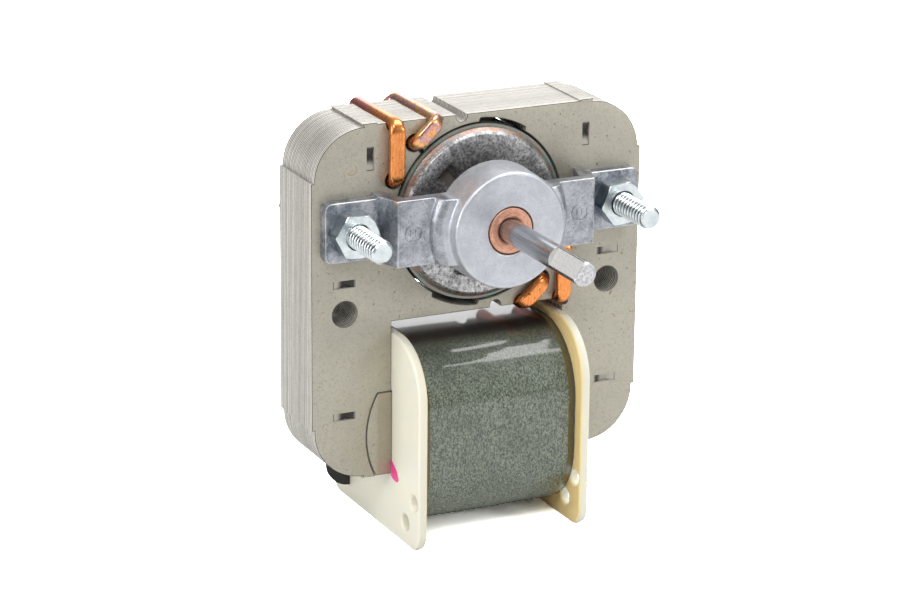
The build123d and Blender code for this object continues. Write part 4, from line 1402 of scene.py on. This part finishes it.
@dataclass
class Coil:
    """The bobbin with its two flanges, and the wrapped winding between them."""

    datum: Datum
    flange_outer: float = 15.7
    flange_thickness: float = 1.6
    flange_depth: float = 35.3
    flange_top: float = -18.9
    top_radius: float = 9.7
    foot_radius: float = 3.0
    edge: float = 0.4
    hole: float = 1.4
    holes: tuple[tuple[float, float], ...] = ((15.6, -45.85), (12.3, -50.3))
    tube_wall: float = 1.0
    core_top: float = -29.1
    core_foot: float = -43.55
    wrap_depth: float = 31.5
    wrap_height: float = 32.8
    wrap_corner: float = 12.0

    @property
    def centre(self) -> tuple[float, float]:
        """The coil's axis as (y, z)."""
        return self.datum.middle, (self.core_top + self.core_foot) / 2

    def flange_loops(self) -> list[Array]:
        """The flange's outline, its opening for the core bar and its two holes."""
        height = self.flange_top - self.datum.foot
        middle = (self.datum.middle, (self.flange_top + self.datum.foot) / 2)
        radii = (self.foot_radius, self.top_radius, self.top_radius, self.foot_radius)
        outline = finer(rounded(self.flange_depth, height, radii, middle, 14), 2.5)
        depth = self.datum.back - self.datum.front + 0.1
        opening = rounded(depth, self.core_top - self.core_foot + 0.1, (0.2,) * 4, self.centre, 4)[::-1]
        rounds = [circle((self.datum.middle - out, z), self.hole, 32, True) for out, z in self.holes]
        return [outline, opening, *rounds]

    def build_bobbin(self) -> bpy.types.Object:
        """Builds the two flanges and the square tube between them."""
        shape = Shape()
        for side in (-1, 1):
            outer = side * self.flange_outer
            inner = side * (self.flange_outer - self.flange_thickness)
            shape.plate(self.flange_loops(), round_edge(outer, inner, self.edge), facing_coil)
        depth = self.datum.back - self.datum.front + 0.1
        height = self.core_top - self.core_foot + 0.1
        wall = 2 * self.tube_wall
        outline = rounded(depth + wall, height + wall, (0.8,) * 4, self.centre)
        opening = rounded(depth, height, (0.2,) * 4, self.centre)[::-1]
        half = self.flange_outer - self.flange_thickness / 2
        shape.plate([outline, opening], np.array([[-half, 0.0], [half, 0.0]]), facing_coil)
        return shape.build("bobbin_moulding", 40)

    def wrap_surface(self) -> Array:
        """The outside of the wrapped coil and back along its inside, as a grid closed both ways.

        The section is a rectangle with large round corners. It stands highest between the flanges, drops
        by a third of a millimetre where the paper ends, and wanders by slow waves of a few hundredths.

        Returns:
            Points, shape (stations along X, points round, 3).
        """
        half = self.flange_outer - self.flange_thickness + 0.02
        steps = np.concatenate([[-half, -13.35], np.linspace(-13.1, 13.1, 53), [13.35, half]])
        radii = (self.wrap_corner,) * 4
        loop = finer(rounded(self.wrap_depth, self.wrap_height, radii, self.centre, 30), 0.6)
        normal = left_normals(loop)
        share = steps / half
        drop = np.where(np.abs(steps) > 13.2, 0.22, 0.0) + 0.06 * share**2
        around = np.linspace(0, math.tau, len(loop), endpoint=False)[None]
        x = steps[:, None]
        waves = 0.025 * np.sin(3 * around + 0.35 * x) + 0.012 * np.sin(7 * around - 0.22 * x + 1.0)
        waves += 0.004 * np.sin(13 * around + 0.6 * x + 2.0) + 0.006 * np.sin(0.9 * x + 5 * around)
        inset = np.clip(drop[:, None] + 0.08 + waves, 0.0, 0.42)
        outside = loop[None] + inset[..., None] * normal[None]
        inside = loop[None] + 1.2 * normal[None] + np.zeros_like(outside)
        stations = np.concatenate([steps, steps[::-1]])
        section = np.concatenate([outside, inside[::-1]])
        return facing_coil(section, np.broadcast_to(stations[:, None], section.shape[:2]))

    def build_wrap(self) -> bpy.types.Object:
        """Builds the wrap."""
        shape = Shape()
        shape.closed(self.wrap_surface())
        return shape.build("coil_wrap", 60)

    def make(self, nylon: bpy.types.Material, wrap: bpy.types.Material) -> None:
        """Builds the pieces and hands them in."""
        hand_in(self.build_bobbin(), STATOR, "bobbin_nylon", nylon, "bobbin")
        hand_in(self.build_wrap(), STATOR, "coil_film", wrap, "coil_film", "coil_paper")


# ---- Brackets and bearings --------------------------------------------------------------------------


@dataclass
class Brackets:
    """The two die-cast brackets: the CAD casting with its edges softened as a casting's are."""

    datum: Datum
    nodes: Mapping[str, bpy.types.Object]
    voxel: float = 0.16
    smoothing: int = 5
    kept_share: float = 0.42
    mark_radius: float = 1.4
    mark_x: float = 15.1
    arm_front: float = 7.0

    def soften(self, node: str, name: str) -> bpy.types.Object:
        """Copies a CAD casting, remeshes it evenly, smooths its edges and thins its flat areas.

        Args:
            node: The CAD node.
            name: The new piece's name.

        Returns:
            The new object, with its modifiers applied.
        """
        mesh = self.nodes[node].data.copy()
        mesh.name = name
        weld(mesh, 1e-6)
        piece = link(bpy.data.objects.new(name, mesh))
        remesh = piece.modifiers.new("even", "REMESH")
        remesh.mode = "VOXEL"
        remesh.voxel_size = self.voxel * METRE
        smooth = piece.modifiers.new("soft", "SMOOTH")
        smooth.factor = 0.5
        smooth.iterations = self.smoothing
        thin = piece.modifiers.new("thin", "DECIMATE")
        thin.ratio = self.kept_share
        graph = bpy.context.evaluated_depsgraph_get()
        baked = bpy.data.meshes.new_from_object(piece.evaluated_get(graph))
        piece.modifiers.clear()
        piece.data = baked
        baked.polygons.foreach_set("use_smooth", np.ones(len(baked.polygons), bool))
        mark_wear_and_sheen(baked)
        return piece

    def build_marks(self, name: str, rear: bool) -> bpy.types.Object:
        """Builds the plain raised mould marks on the arms: a ring round two short bars.

        A ring is a thin torus sunk by half in the arm's face.

        Args:
            name: The piece's name.
            rear: Whether it is for the rear bracket.

        Returns:
            The piece.
        """
        shape = Shape()
        face = self.datum.front - self.arm_front
        for x in (-self.mark_x, self.mark_x):
            around, section = np.meshgrid(np.linspace(0, math.tau, 48, endpoint=False),
                                          np.linspace(0, math.tau, 8, endpoint=False), indexing="ij")
            reach = self.mark_radius + 0.13 * np.cos(section)
            ring = np.stack([x + reach * np.cos(around), face - 0.02 - 0.13 * np.sin(section),
                             reach * np.sin(around)], -1)
            shape.closed(self.datum.rear(ring) if rear else ring)
            for offset in (-0.45, 0.45):
                bar = rounded(0.22, 1.2, (0.09,) * 4, (x + offset, 0.0), 4)
                rows = round_edge(face - 0.14, face + 0.2, 0.05, 3)
                rows[:, 0] = 2 * self.datum.middle - rows[:, 0] if rear else rows[:, 0]
                shape.plate([bar], rows, facing_shaft)
        return shape.build(name)

    def make(self, material: bpy.types.Material) -> None:
        """Builds the pieces and hands them in."""
        for end in ("front", "rear"):
            casting = self.soften(f"{end}_bracket", f"{end}_casting")
            hand_in(casting, STATOR, "die_cast", material, f"{end}_bracket")
            marks = self.build_marks(f"{end}_mould_marks", end == "rear")
            hand_in(marks, STATOR, "die_cast", material)


@dataclass
class Bearings:
    """The two self-aligning bronze bearings, turned from one profile."""

    datum: Datum
    sphere: float = 5.3
    centre: float = 7.6
    back: float = 4.9
    nose: float = 3.85
    face: float = 12.0
    bore: float = 2.03

    def profile(self) -> Array:
        """Closed profile of (radius, distance ahead of the stack): ball, nose, dished face and bore."""
        rise = math.sqrt(self.sphere**2 - self.nose**2)
        drop = self.centre - self.back
        start, end = math.asin(-drop / self.sphere), math.asin(rise / self.sphere)
        angles = np.linspace(start, end, 16)
        ball = turn(angles) * self.sphere + np.array([0, self.centre])
        face = [[self.nose, self.face - 0.12], [self.nose - 0.12, self.face],
                [self.nose - 0.75, self.face], [self.nose - 0.85, self.face - 0.05],
                [self.bore + 0.45, self.face - 0.12], [self.bore + 0.12, self.face - 0.35],
                [self.bore, self.face - 0.6], [self.bore, self.back]]
        return np.concatenate([ball, face])

    def make(self, material: bpy.types.Material) -> None:
        """Builds both and hands them in."""
        profile = softened(self.profile(), 0.06, 3) * np.array([1, -1]) + np.array([0, self.datum.front])
        for end in ("front", "rear"):
            surface = turned(profile)
            shape = Shape()
            shape.closed(surface if end == "front" else self.datum.rear(surface))
            hand_in(shape.build(f"{end}_bush", 30), STATOR, "sintered_bronze", material, f"{end}_bearing")


# ---- Rotor and shaft --------------------------------------------------------------------------------


@dataclass
class Rotor:
    """The cage's two end rings, the rotor's rim and the shaft, which turn together."""

    datum: Datum
    radius: float = 14.95
    cage: float = 13.6
    cage_root: float = 14.4
    cage_depth: float = 1.3
    hub: float = 6.5
    notch_reach: float = 9.75
    notch_width: float = 2.0
    notch_angles: tuple[float, ...] = (131.8, 251.8, 11.8)
    shaft: float = 2.0
    flat: float = 1.15
    flat_angle: float = 146.4
    flat_start: float = 28.9
    chamfer: float = 0.35

    def hub_loop(self) -> Array:
        """The end ring's inner edge, clockwise: a circle with three square notches.

        In each direction the edge is at the hub's radius, or inside a notch at the notch's end, which is
        the distance at which a straight line square to the notch's middle is met.

        Returns:
            The loop.
        """
        angles = np.radians(np.linspace(0, 360, 720, endpoint=False))
        reach = np.full(len(angles), self.hub)
        for degrees in self.notch_angles:
            off = np.angle(np.exp(1j * (angles - math.radians(degrees))))
            aside = np.abs(np.sin(off)) * self.notch_reach
            inside = (np.abs(off) < 1.0) & (aside < self.notch_width / 2 * np.cos(off))
            reach = np.where(inside, self.notch_reach / np.maximum(np.cos(off), 0.2), reach)
        return (turn(angles) * reach[:, None])[::-1]

    def build_cage(self) -> bpy.types.Object:
        """Builds both end rings, each a notched ring with a wide rounded rim."""
        shape = Shape()
        front = self.datum.front - self.cage_depth
        flank = self.cage_root - self.cage
        angle = np.linspace(0, math.pi / 2, 6)
        round_in = flank + 0.35 * (1 - np.sin(angle))
        rim = np.stack([front + 0.25 * (1 - np.cos(angle)), round_in], -1)
        rows = np.concatenate([rim, [[self.datum.front - 0.3, 0.0], [self.datum.front, 0.0]]])
        outline = circle((0, 0), self.cage_root, 180)
        shape.plate([outline, self.hub_loop()], rows, facing_shaft)
        mirrored = rows.copy()
        mirrored[:, 0] = 2 * self.datum.middle - mirrored[:, 0]
        shape.plate([outline, self.hub_loop()], mirrored, facing_shaft)
        return shape.build("cage_rings", 40)

    def build_core(self) -> bpy.types.Object:
        """Builds the rotor's stack: sheets with grooves between them, turned about the shaft."""
        sheets = 26
        thickness = (self.datum.back - self.datum.front) / sheets
        start = self.datum.front + thickness * np.arange(sheets)
        y = (start[:, None] + thickness * np.array([0.0, 0.15, 0.85, 1.0])).ravel()
        radius = np.tile([self.radius - 0.05, self.radius, self.radius, self.radius - 0.05], sheets)
        outside = np.stack([radius, y], -1)
        inside = np.array([[self.shaft, self.datum.back], [self.shaft, self.datum.front]])
        shape = Shape()
        shape.closed(turned(np.concatenate([outside, inside]), 120))
        return shape.build("rotor_stack", 40)

    def shaft_surface(self) -> Array:
        """The shaft: rows of one section along Y, closed by shrinking to the axis at both ends.

        A section is a circle, but past the start of the flat its reach in a direction is the lesser of
        the radius and the flat's distance over the cosine of the angle from the flat's normal.

        Returns:
            Points, shape (rows, around, 3).
        """
        tip, tail = self.datum.shaft_tip, self.datum.shaft_tail
        step = self.datum.front - self.flat_start
        y = np.concatenate([[tip, tip], tip + np.array([0.0, 0.06, self.chamfer]), [tip + 0.6],
                            np.linspace(tip + 1, step - 0.02, 10), [step + 0.02],
                            np.linspace(step + 0.5, tail - 0.5, 40), [tail - self.chamfer, tail, tail, tail]])
        full = np.full(len(y), self.shaft)
        end = np.minimum(np.abs(y - tip), np.abs(tail - y))
        full = np.minimum(full, self.shaft - self.chamfer + end)
        full[[0, -1]] = 0.01
        full[[1, -2]] = (self.shaft - self.chamfer) * 0.93
        around = np.concatenate([np.linspace(0, math.tau, 120, endpoint=False)])
        off = np.cos(around - math.radians(self.flat_angle))
        flat_reach = np.where(off > 0.05, self.flat / np.maximum(off, 0.05), 99.0)
        has_flat = (y < step)[:, None]
        reach = np.where(has_flat, np.minimum(full[:, None], flat_reach[None]), full[:, None])
        direction = turn(around)
        x, z = reach * direction[None, :, 0], reach * direction[None, :, 1]
        return np.stack([x, np.broadcast_to(y[:, None], x.shape), z], -1)

    def build_shaft(self) -> bpy.types.Object:
        """Builds the shaft as a tube whose ends close to a point."""
        part, surface = Shape(), self.shaft_surface()
        part.grid(surface, close_v=True)
        loops = [surface[0, :, [0, 2]].T, surface[-1, :, [0, 2]].T]
        part.flat([loops[0]], lambda p: facing_shaft(p, np.full(len(p), surface[0, 0, 1])))
        part.flat([loops[1]], lambda p: facing_shaft(p, np.full(len(p), surface[-1, 0, 1])), flip=True)
        shape = Shape()
        shape.merge(part)
        return shape.build("output_shaft", 25)

    def make(self, cage: bpy.types.Material, core: bpy.types.Material, steel: bpy.types.Material) -> None:
        """Builds the pieces and hands them in."""
        hand_in(self.build_cage(), ROTOR, "cage_aluminium", cage, "rotor_cage")
        hand_in(self.build_core(), ROTOR, "rotor_steel", core, "rotor_core")
        hand_in(self.build_shaft(), ROTOR, "shaft_steel", steel, "shaft")


# ---- Studs and nuts ---------------------------------------------------------------------------------


@dataclass
class Fasteners:
    """Two studs with cut threads at both ends, and the four nuts on them."""

    datum: Datum
    radius: float = 2.0
    pitch: float = 0.95
    thread_depth: float = 0.42
    front_reach: float = 15.0
    back_reach: float = 7.0
    foot: float = 2.3
    nut: float = 3.2
    corner: float = 4.04
    bevel: float = 0.5

    def stud_surface(self, x: float, phase: float) -> Array:
        """A stud: its radius follows a triangle wave along a helix near both ends.

        The thread's depth at a point is set by how far the place lies along the helix, counted in
        pitches, from the nearest crest, and the ends are cut to a short cone.

        Args:
            x: The stud's place.
            phase: Where the thread starts, in turns.

        Returns:
            Points, shape (rows, around, 3).
        """
        tip, tail = self.datum.front - self.front_reach, self.datum.back + self.back_reach
        threaded = [np.arange(tip, self.datum.front - 2.0, self.pitch / 9),
                    np.linspace(self.datum.front - 2.0, self.datum.back + 2.0, 6)[1:-1],
                    np.arange(self.datum.back + 2.0, tail, self.pitch / 9), [tail]]
        y = np.concatenate(threaded)
        around = np.linspace(0, math.tau, 48, endpoint=False)
        turns = (y[:, None] / self.pitch - around[None] / math.tau + phase) % 1.0
        valley = np.clip(np.abs(turns - 0.5) * 2.6 - 0.2, 0, 1)
        is_thread = ((y < self.datum.front - 1.9) | (y > self.datum.back + 1.9))[:, None]
        reach = np.where(is_thread, self.radius - self.thread_depth * (1 - valley), self.radius - 0.05)
        end = np.minimum(y - tip, tail - y)[:, None]
        reach = np.minimum(reach, self.radius - 0.52 + end * 1.1)
        direction = turn(around)
        px, pz = x + reach * direction[None, :, 0], reach * direction[None, :, 1]
        return np.stack([px, np.broadcast_to(y[:, None], px.shape), pz], -1)

    def build_studs(self) -> bpy.types.Object:
        """Builds both studs, each closed by a flat at each end."""
        shape = Shape()
        for x, phase in ((-self.datum.stud_x, 0.15), (self.datum.stud_x, 0.6)):
            part, surface = Shape(), self.stud_surface(x, phase)
            part.grid(surface, close_v=True)
            for row, flip in ((0, False), (-1, True)):
                rim = surface[row][:, [0, 2]]
                height = surface[row, 0, 1]
                part.flat([rim], lambda p, h=height: facing_shaft(p, np.full(len(p), h)), flip)
            shape.merge(part)
        return shape.build("threaded_studs", 60)

    def nut_surface(self, x: float, seat: float, sign: int, degrees: float) -> Array:
        """A nut: outside from its seat to its face, then back through its countersunk bore.

        In each direction the reach is the lesser of the hexagon's, which is the flat's distance over the
        cosine of the angle from the flat's middle, and that of the cone which bevels each face.

        Args:
            x: The nut's place.
            seat: The face that it sits on.
            sign: -1 where it faces forwards, 1 where it faces backwards.
            degrees: How far it is turned.

        Returns:
            A grid closed both ways.
        """
        around = np.linspace(0, math.tau, 144, endpoint=False)
        flat = self.corner * math.cos(math.pi / 6)
        sector = (around - math.radians(degrees)) % (math.pi / 3) - math.pi / 6
        hexagon = flat / np.cos(sector)
        hexagon = -0.06 * np.logaddexp(-hexagon / 0.06, -(self.corner - 0.05) / 0.06)
        rise = np.concatenate([[0.0, 0.0], np.linspace(0.02, 0.62, 10),
                               np.linspace(self.nut - 0.62, self.nut - 0.02, 10), [self.nut, self.nut]])
        edge = np.minimum(rise, self.nut - rise)
        cone = flat + 0.10 + edge * 1.75
        cone[[0, -1]] = self.radius + 0.45
        outside = np.minimum(hexagon[None], cone[:, None])
        inner = np.array([self.radius + 0.25, self.radius - 0.3, self.radius - 0.3, self.radius + 0.25])
        inner_rise = np.array([self.nut, self.nut - 0.5, 0.5, 0.0])
        reach = np.concatenate([outside, np.broadcast_to(inner[:, None], (4, len(around)))])
        height = seat + sign * np.concatenate([rise, inner_rise])
        direction = turn(around)
        px, pz = x + reach * direction[None, :, 0], reach * direction[None, :, 1]
        return np.stack([px, np.broadcast_to(height[:, None], px.shape), pz], -1)

    def build_nuts(self, end: str) -> bpy.types.Object:
        """Builds the two nuts of one end."""
        shape = Shape()
        front = end == "front"
        seat = self.datum.front - self.foot if front else self.datum.back + self.foot
        turns = (-3.0, 7.0) if front else (12.0, -12.0)
        for x, degrees in zip((-self.datum.stud_x, self.datum.stud_x), turns):
            shape.closed(self.nut_surface(x, seat, -1 if front else 1, degrees))
        return shape.build(f"{end}_hexagon_nuts", 28)

    def make(self, zinc: bpy.types.Material) -> None:
        """Builds the pieces and hands them in."""
        hand_in(self.build_studs(), STATOR, "zinc_plate", zinc, "through_studs")
        for end in ("front", "rear"):
            hand_in(self.build_nuts(end), STATOR, "zinc_plate", zinc, f"{end}_nuts")


# ---- Paint marks and the pieces kept from CAD ---------------------------------------------------------


@dataclass
class PaintMarks:
    """The inspector's dab of magenta paint on the flange."""

    datum: Datum
    thickness: float = 0.05
    flange_face: float = -15.70
    height: float = -42.5
    half_height: float = 1.45
    reach: float = 3.0
    droop: float = 1.2
    gap: float = 0.06
    ripple: float = 0.04

    def outline(self) -> Array:
        """Half an oval that stands on the stack's face and sags as it reaches forwards.

        With t from 0 to pi, y is the face less reach * sin(t), and z is the height plus
        half_height * cos(t) less droop * sin(t). A ripple makes the edge ragged.

        Returns:
            The (y, z) points of the loop.
        """
        t = np.linspace(0.0, math.pi, 25)
        out = (self.reach + self.ripple * np.sin(9 * t)) * np.sin(t)
        z = self.height + self.half_height * np.cos(t) - self.droop * np.sin(t)
        return np.stack([self.datum.front - self.gap - out, z], axis=1)

    def build(self) -> bpy.types.Object:
        """Builds a thin dab with a ragged outline."""
        shape = Shape()
        rows = round_edge(self.flange_face, self.flange_face - self.thickness, 0.03, 3)
        shape.plate([self.oriented(finer(self.outline(), 0.3))], rows, facing_coil)
        return shape.build("paint_mark")

    def oriented(self, loop: Array) -> Array:
        """The loop made anticlockwise."""
        area = (loop[:, 0] * np.roll(loop[:, 1], -1) - loop[:, 1] * np.roll(loop[:, 0], -1)).sum()
        return loop if area > 0 else loop[::-1]

    def make(self, paint: bpy.types.Material) -> None:
        """Builds the dab and hands it in."""
        hand_in(self.build(), STATOR, "bobbin_nylon", paint)


KEPT_FINISHES: dict[str, object] = {
    "winding": Metal(
        "enamelled_copper", (0.62, 0.25, 0.09), (0.40, 0.14, 0.05), 0.3, 0.8, 2.0, (3.0, 0.3, 0.3)
    ),
    "felt": Plain("felt", (0.62, 0.56, 0.42), (0.40, 0.34, 0.22), 0.9, 5.0, 0.15),
    "spring": Metal("spring_steel", (0.45, 0.45, 0.46), (0.30, 0.30, 0.31), 0.35),
    "washer": Plain("washer_plastic", (0.16, 0.11, 0.07), (0.28, 0.20, 0.13), 0.5),
    "block": Plain("block_plastic", (0.012, 0.012, 0.014), (0.03, 0.03, 0.034), 0.45, 3.0, 0.03),
    "tab": Metal("tab_brass", (0.72, 0.66, 0.50), (0.55, 0.48, 0.32), 0.28),
}


@dataclass
class KeptNodes:
    """CAD pieces that keep their own meshes and only get a better material."""

    nodes: Mapping[str, bpy.types.Object]
    dressing: dict[str, str] = field(default_factory=lambda: {
        "winding": "winding", "winding_ends": "winding",
        "front_oil_felt": "felt", "rear_oil_felt": "felt",
        "front_bearing_clip": "spring", "rear_bearing_clip": "spring",
        "front_spacer": "spring", "rear_spacer": "spring",
        "front_thrust_washer": "washer", "rear_thrust_washer": "washer",
        "terminal_block": "block", "terminal_tabs": "tab",
    })

    def make(self) -> None:
        """Assigns the materials."""
        made = {key: finish.make() for key, finish in KEPT_FINISHES.items()}
        for node, key in self.dressing.items():
            materials = self.nodes[node].data.materials
            materials.clear()
            materials.append(made[key])
            LOG.info("%s keeps its CAD mesh", node)


# ---- Studio -------------------------------------------------------------------------------------------


@dataclass(frozen=True)
class Lamp:
    """One soft area light."""

    name: str
    place: tuple[float, float, float]
    size: float
    power: float
    tone: Colour = (1.0, 1.0, 1.0)


@dataclass
class Studio:
    """The floor, the lights and the camera."""

    datum: Datum
    azimuth: float = -25.72
    elevation: float = 17.91
    roll: float = 0.58
    distance: float = 566.6
    target: tuple[float, float, float] = (-5.09, 5.5, -14.61)
    lens: float = 137.1
    lamps: tuple[Lamp, ...] = (
        Lamp("key", (-240, -330, 430), 0.22, 1.35),
        Lamp("overhead", (200, -40, 430), 0.34, 2.1),
        Lamp("left", (-520, 40, 120), 0.26, 1.3),
        Lamp("right", (380, -420, 140), 0.12, 0.5),
    )

    def floor(self) -> None:
        """Lays a pale floor under the motor."""
        shape = Shape()
        corners = np.array([[[-3000, -3000], [3000, -3000]], [[-3000, 3000], [3000, 3000]]], float)
        z = np.full((2, 2, 1), self.datum.foot - 0.02)
        shape.grid(np.concatenate([corners, z], -1))
        floor = shape.build("floor")
        tree = Tree("floor_paint")
        seen = Wire(tree, tree.node("ShaderNodeLightPath").outputs["Is Camera Ray"])
        paint = tree.mix(seen, (0.75, 0.75, 0.75), (4.5, 4.5, 4.5))
        tree.finish(Specular_IOR_Level=0.0)
        floor.data.materials.append(tree.finish(Base_Color=paint, Roughness=0.9))

    def light(self) -> None:
        """Hangs the lights round the motor and sets the pale surroundings."""
        aim = Vector(self.target) * METRE
        for lamp in self.lamps:
            data = bpy.data.lights.new(lamp.name, "AREA")
            data.size = lamp.size
            data.energy = lamp.power
            data.color = lamp.tone
            place = Vector(lamp.place) * METRE
            light = link(bpy.data.objects.new(lamp.name, data))
            turned = (aim - place).to_track_quat("-Z", "Y").to_matrix().to_4x4()
            light.matrix_world = Matrix.Translation(place) @ turned
        world = bpy.data.worlds.new("surroundings")
        tree = Tree.of_world(world)
        height = tree.axis(Wire(tree, tree.node("ShaderNodeTexCoord").outputs["Generated"]), "Z")
        sky = tree.ramp(height * 0.5 + 0.5, ((0.0, (0.06, 0.06, 0.06)), (0.48, (0.09, 0.095, 0.105)),
                                             (0.62, (0.20, 0.205, 0.22)), (0.80, (0.52, 0.52, 0.52))))
        behind = tree.axis(Wire(tree, tree.node("ShaderNodeTexCoord").outputs["Generated"]), "Y")
        aside = tree.axis(Wire(tree, tree.node("ShaderNodeTexCoord").outputs["Generated"]), "X")
        backdrop = behind.between(0.60, 0.80) * height.between(0.03, 0.10) * aside.between(0.0, 0.2)
        sky = tree.mix(backdrop, sky, (2.6, 2.6, 2.6))
        seen = tree.node("ShaderNodeLightPath").outputs["Is Camera Ray"]
        tree.feed(tree.shader.inputs["Color"], tree.mix(seen, sky, (1.0, 1.0, 1.0)))
        bpy.context.scene.world = world

    def camera(self) -> None:
        """Sets the camera: it looks along the given azimuth and elevation at the target."""
        az, el, roll = (math.radians(v) for v in (self.azimuth, self.elevation, self.roll))
        back = Vector((math.sin(az) * math.cos(el), -math.cos(az) * math.cos(el), math.sin(el)))
        right = (-back).cross(Vector((0, 0, 1))).normalized()
        up = right.cross(-back)
        rolled_right = right * math.cos(roll) + up * math.sin(roll)
        rolled_up = -right * math.sin(roll) + up * math.cos(roll)
        place = (Vector(self.target) + back * self.distance) * METRE
        data = bpy.data.cameras.new("camera")
        data.lens = self.lens
        data.sensor_width = 36.0
        data.clip_start = 0.01
        camera = link(bpy.data.objects.new("camera", data))
        axes = Matrix((rolled_right, rolled_up, back)).transposed().to_4x4()
        camera.matrix_world = Matrix.Translation(place) @ axes
        bpy.context.scene.camera = camera
        bpy.context.scene.view_settings.view_transform = "Standard"

    def make(self) -> None:
        """Sets the whole studio."""
        self.floor()
        self.light()
        self.camera()


def main() -> None:
    """Loads the frame and builds every sub-assembly in order."""
    logging.basicConfig(level=logging.INFO, format="%(name)s %(message)s")
    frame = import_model()
    datum = Datum.read()
    Studio(datum).make()
    stack = Stack(datum)
    stack.make(LaminationSteel().make())
    copper = {tint: Copper(tint).make() for tint in HeatTint}
    rings = (
        ("shading_ring_left_outer", stack.outer_hole, stack.outer_notch, False, HeatTint.LIGHT),
        ("shading_ring_left_inner", stack.inner_hole, stack.inner_notch, False, HeatTint.STRAW_AND_PURPLE),
        ("shading_ring_right_inner", stack.inner_hole, stack.inner_notch, True, HeatTint.LIGHT),
        ("shading_ring_right_outer", stack.outer_hole, stack.outer_notch, True, HeatTint.LIGHT),
    )
    for seed, (node, hole, top_x, turned_half, tint) in enumerate(rings):
        ShadingRing(datum, node, hole, top_x, turned_half).make(copper[tint], seed)
    Coil(datum).make(Nylon().make(), WrappedCoil().make())
    Brackets(datum, frame["nodes"]).make(DieCast().make())
    bronze = Metal("sintered_bronze", (0.80, 0.44, 0.31), (0.44, 0.19, 0.11), 0.38, 0.75, 2.2)
    Bearings(datum).make(bronze.make())
    aluminium = CageAluminium().make()
    ground = ShaftSteel().make()
    Rotor(datum).make(aluminium, RotorSteel().make(), ground)
    Fasteners(datum).make(ZincPlate(datum.stud_x).make())
    PaintMarks(datum).make(Plain("magenta_paint", (0.80, 0.02, 0.22), (0.90, 0.10, 0.35), 0.35).make())
    KeptNodes(frame["nodes"]).make()


if __name__ == "__main__":
    main()
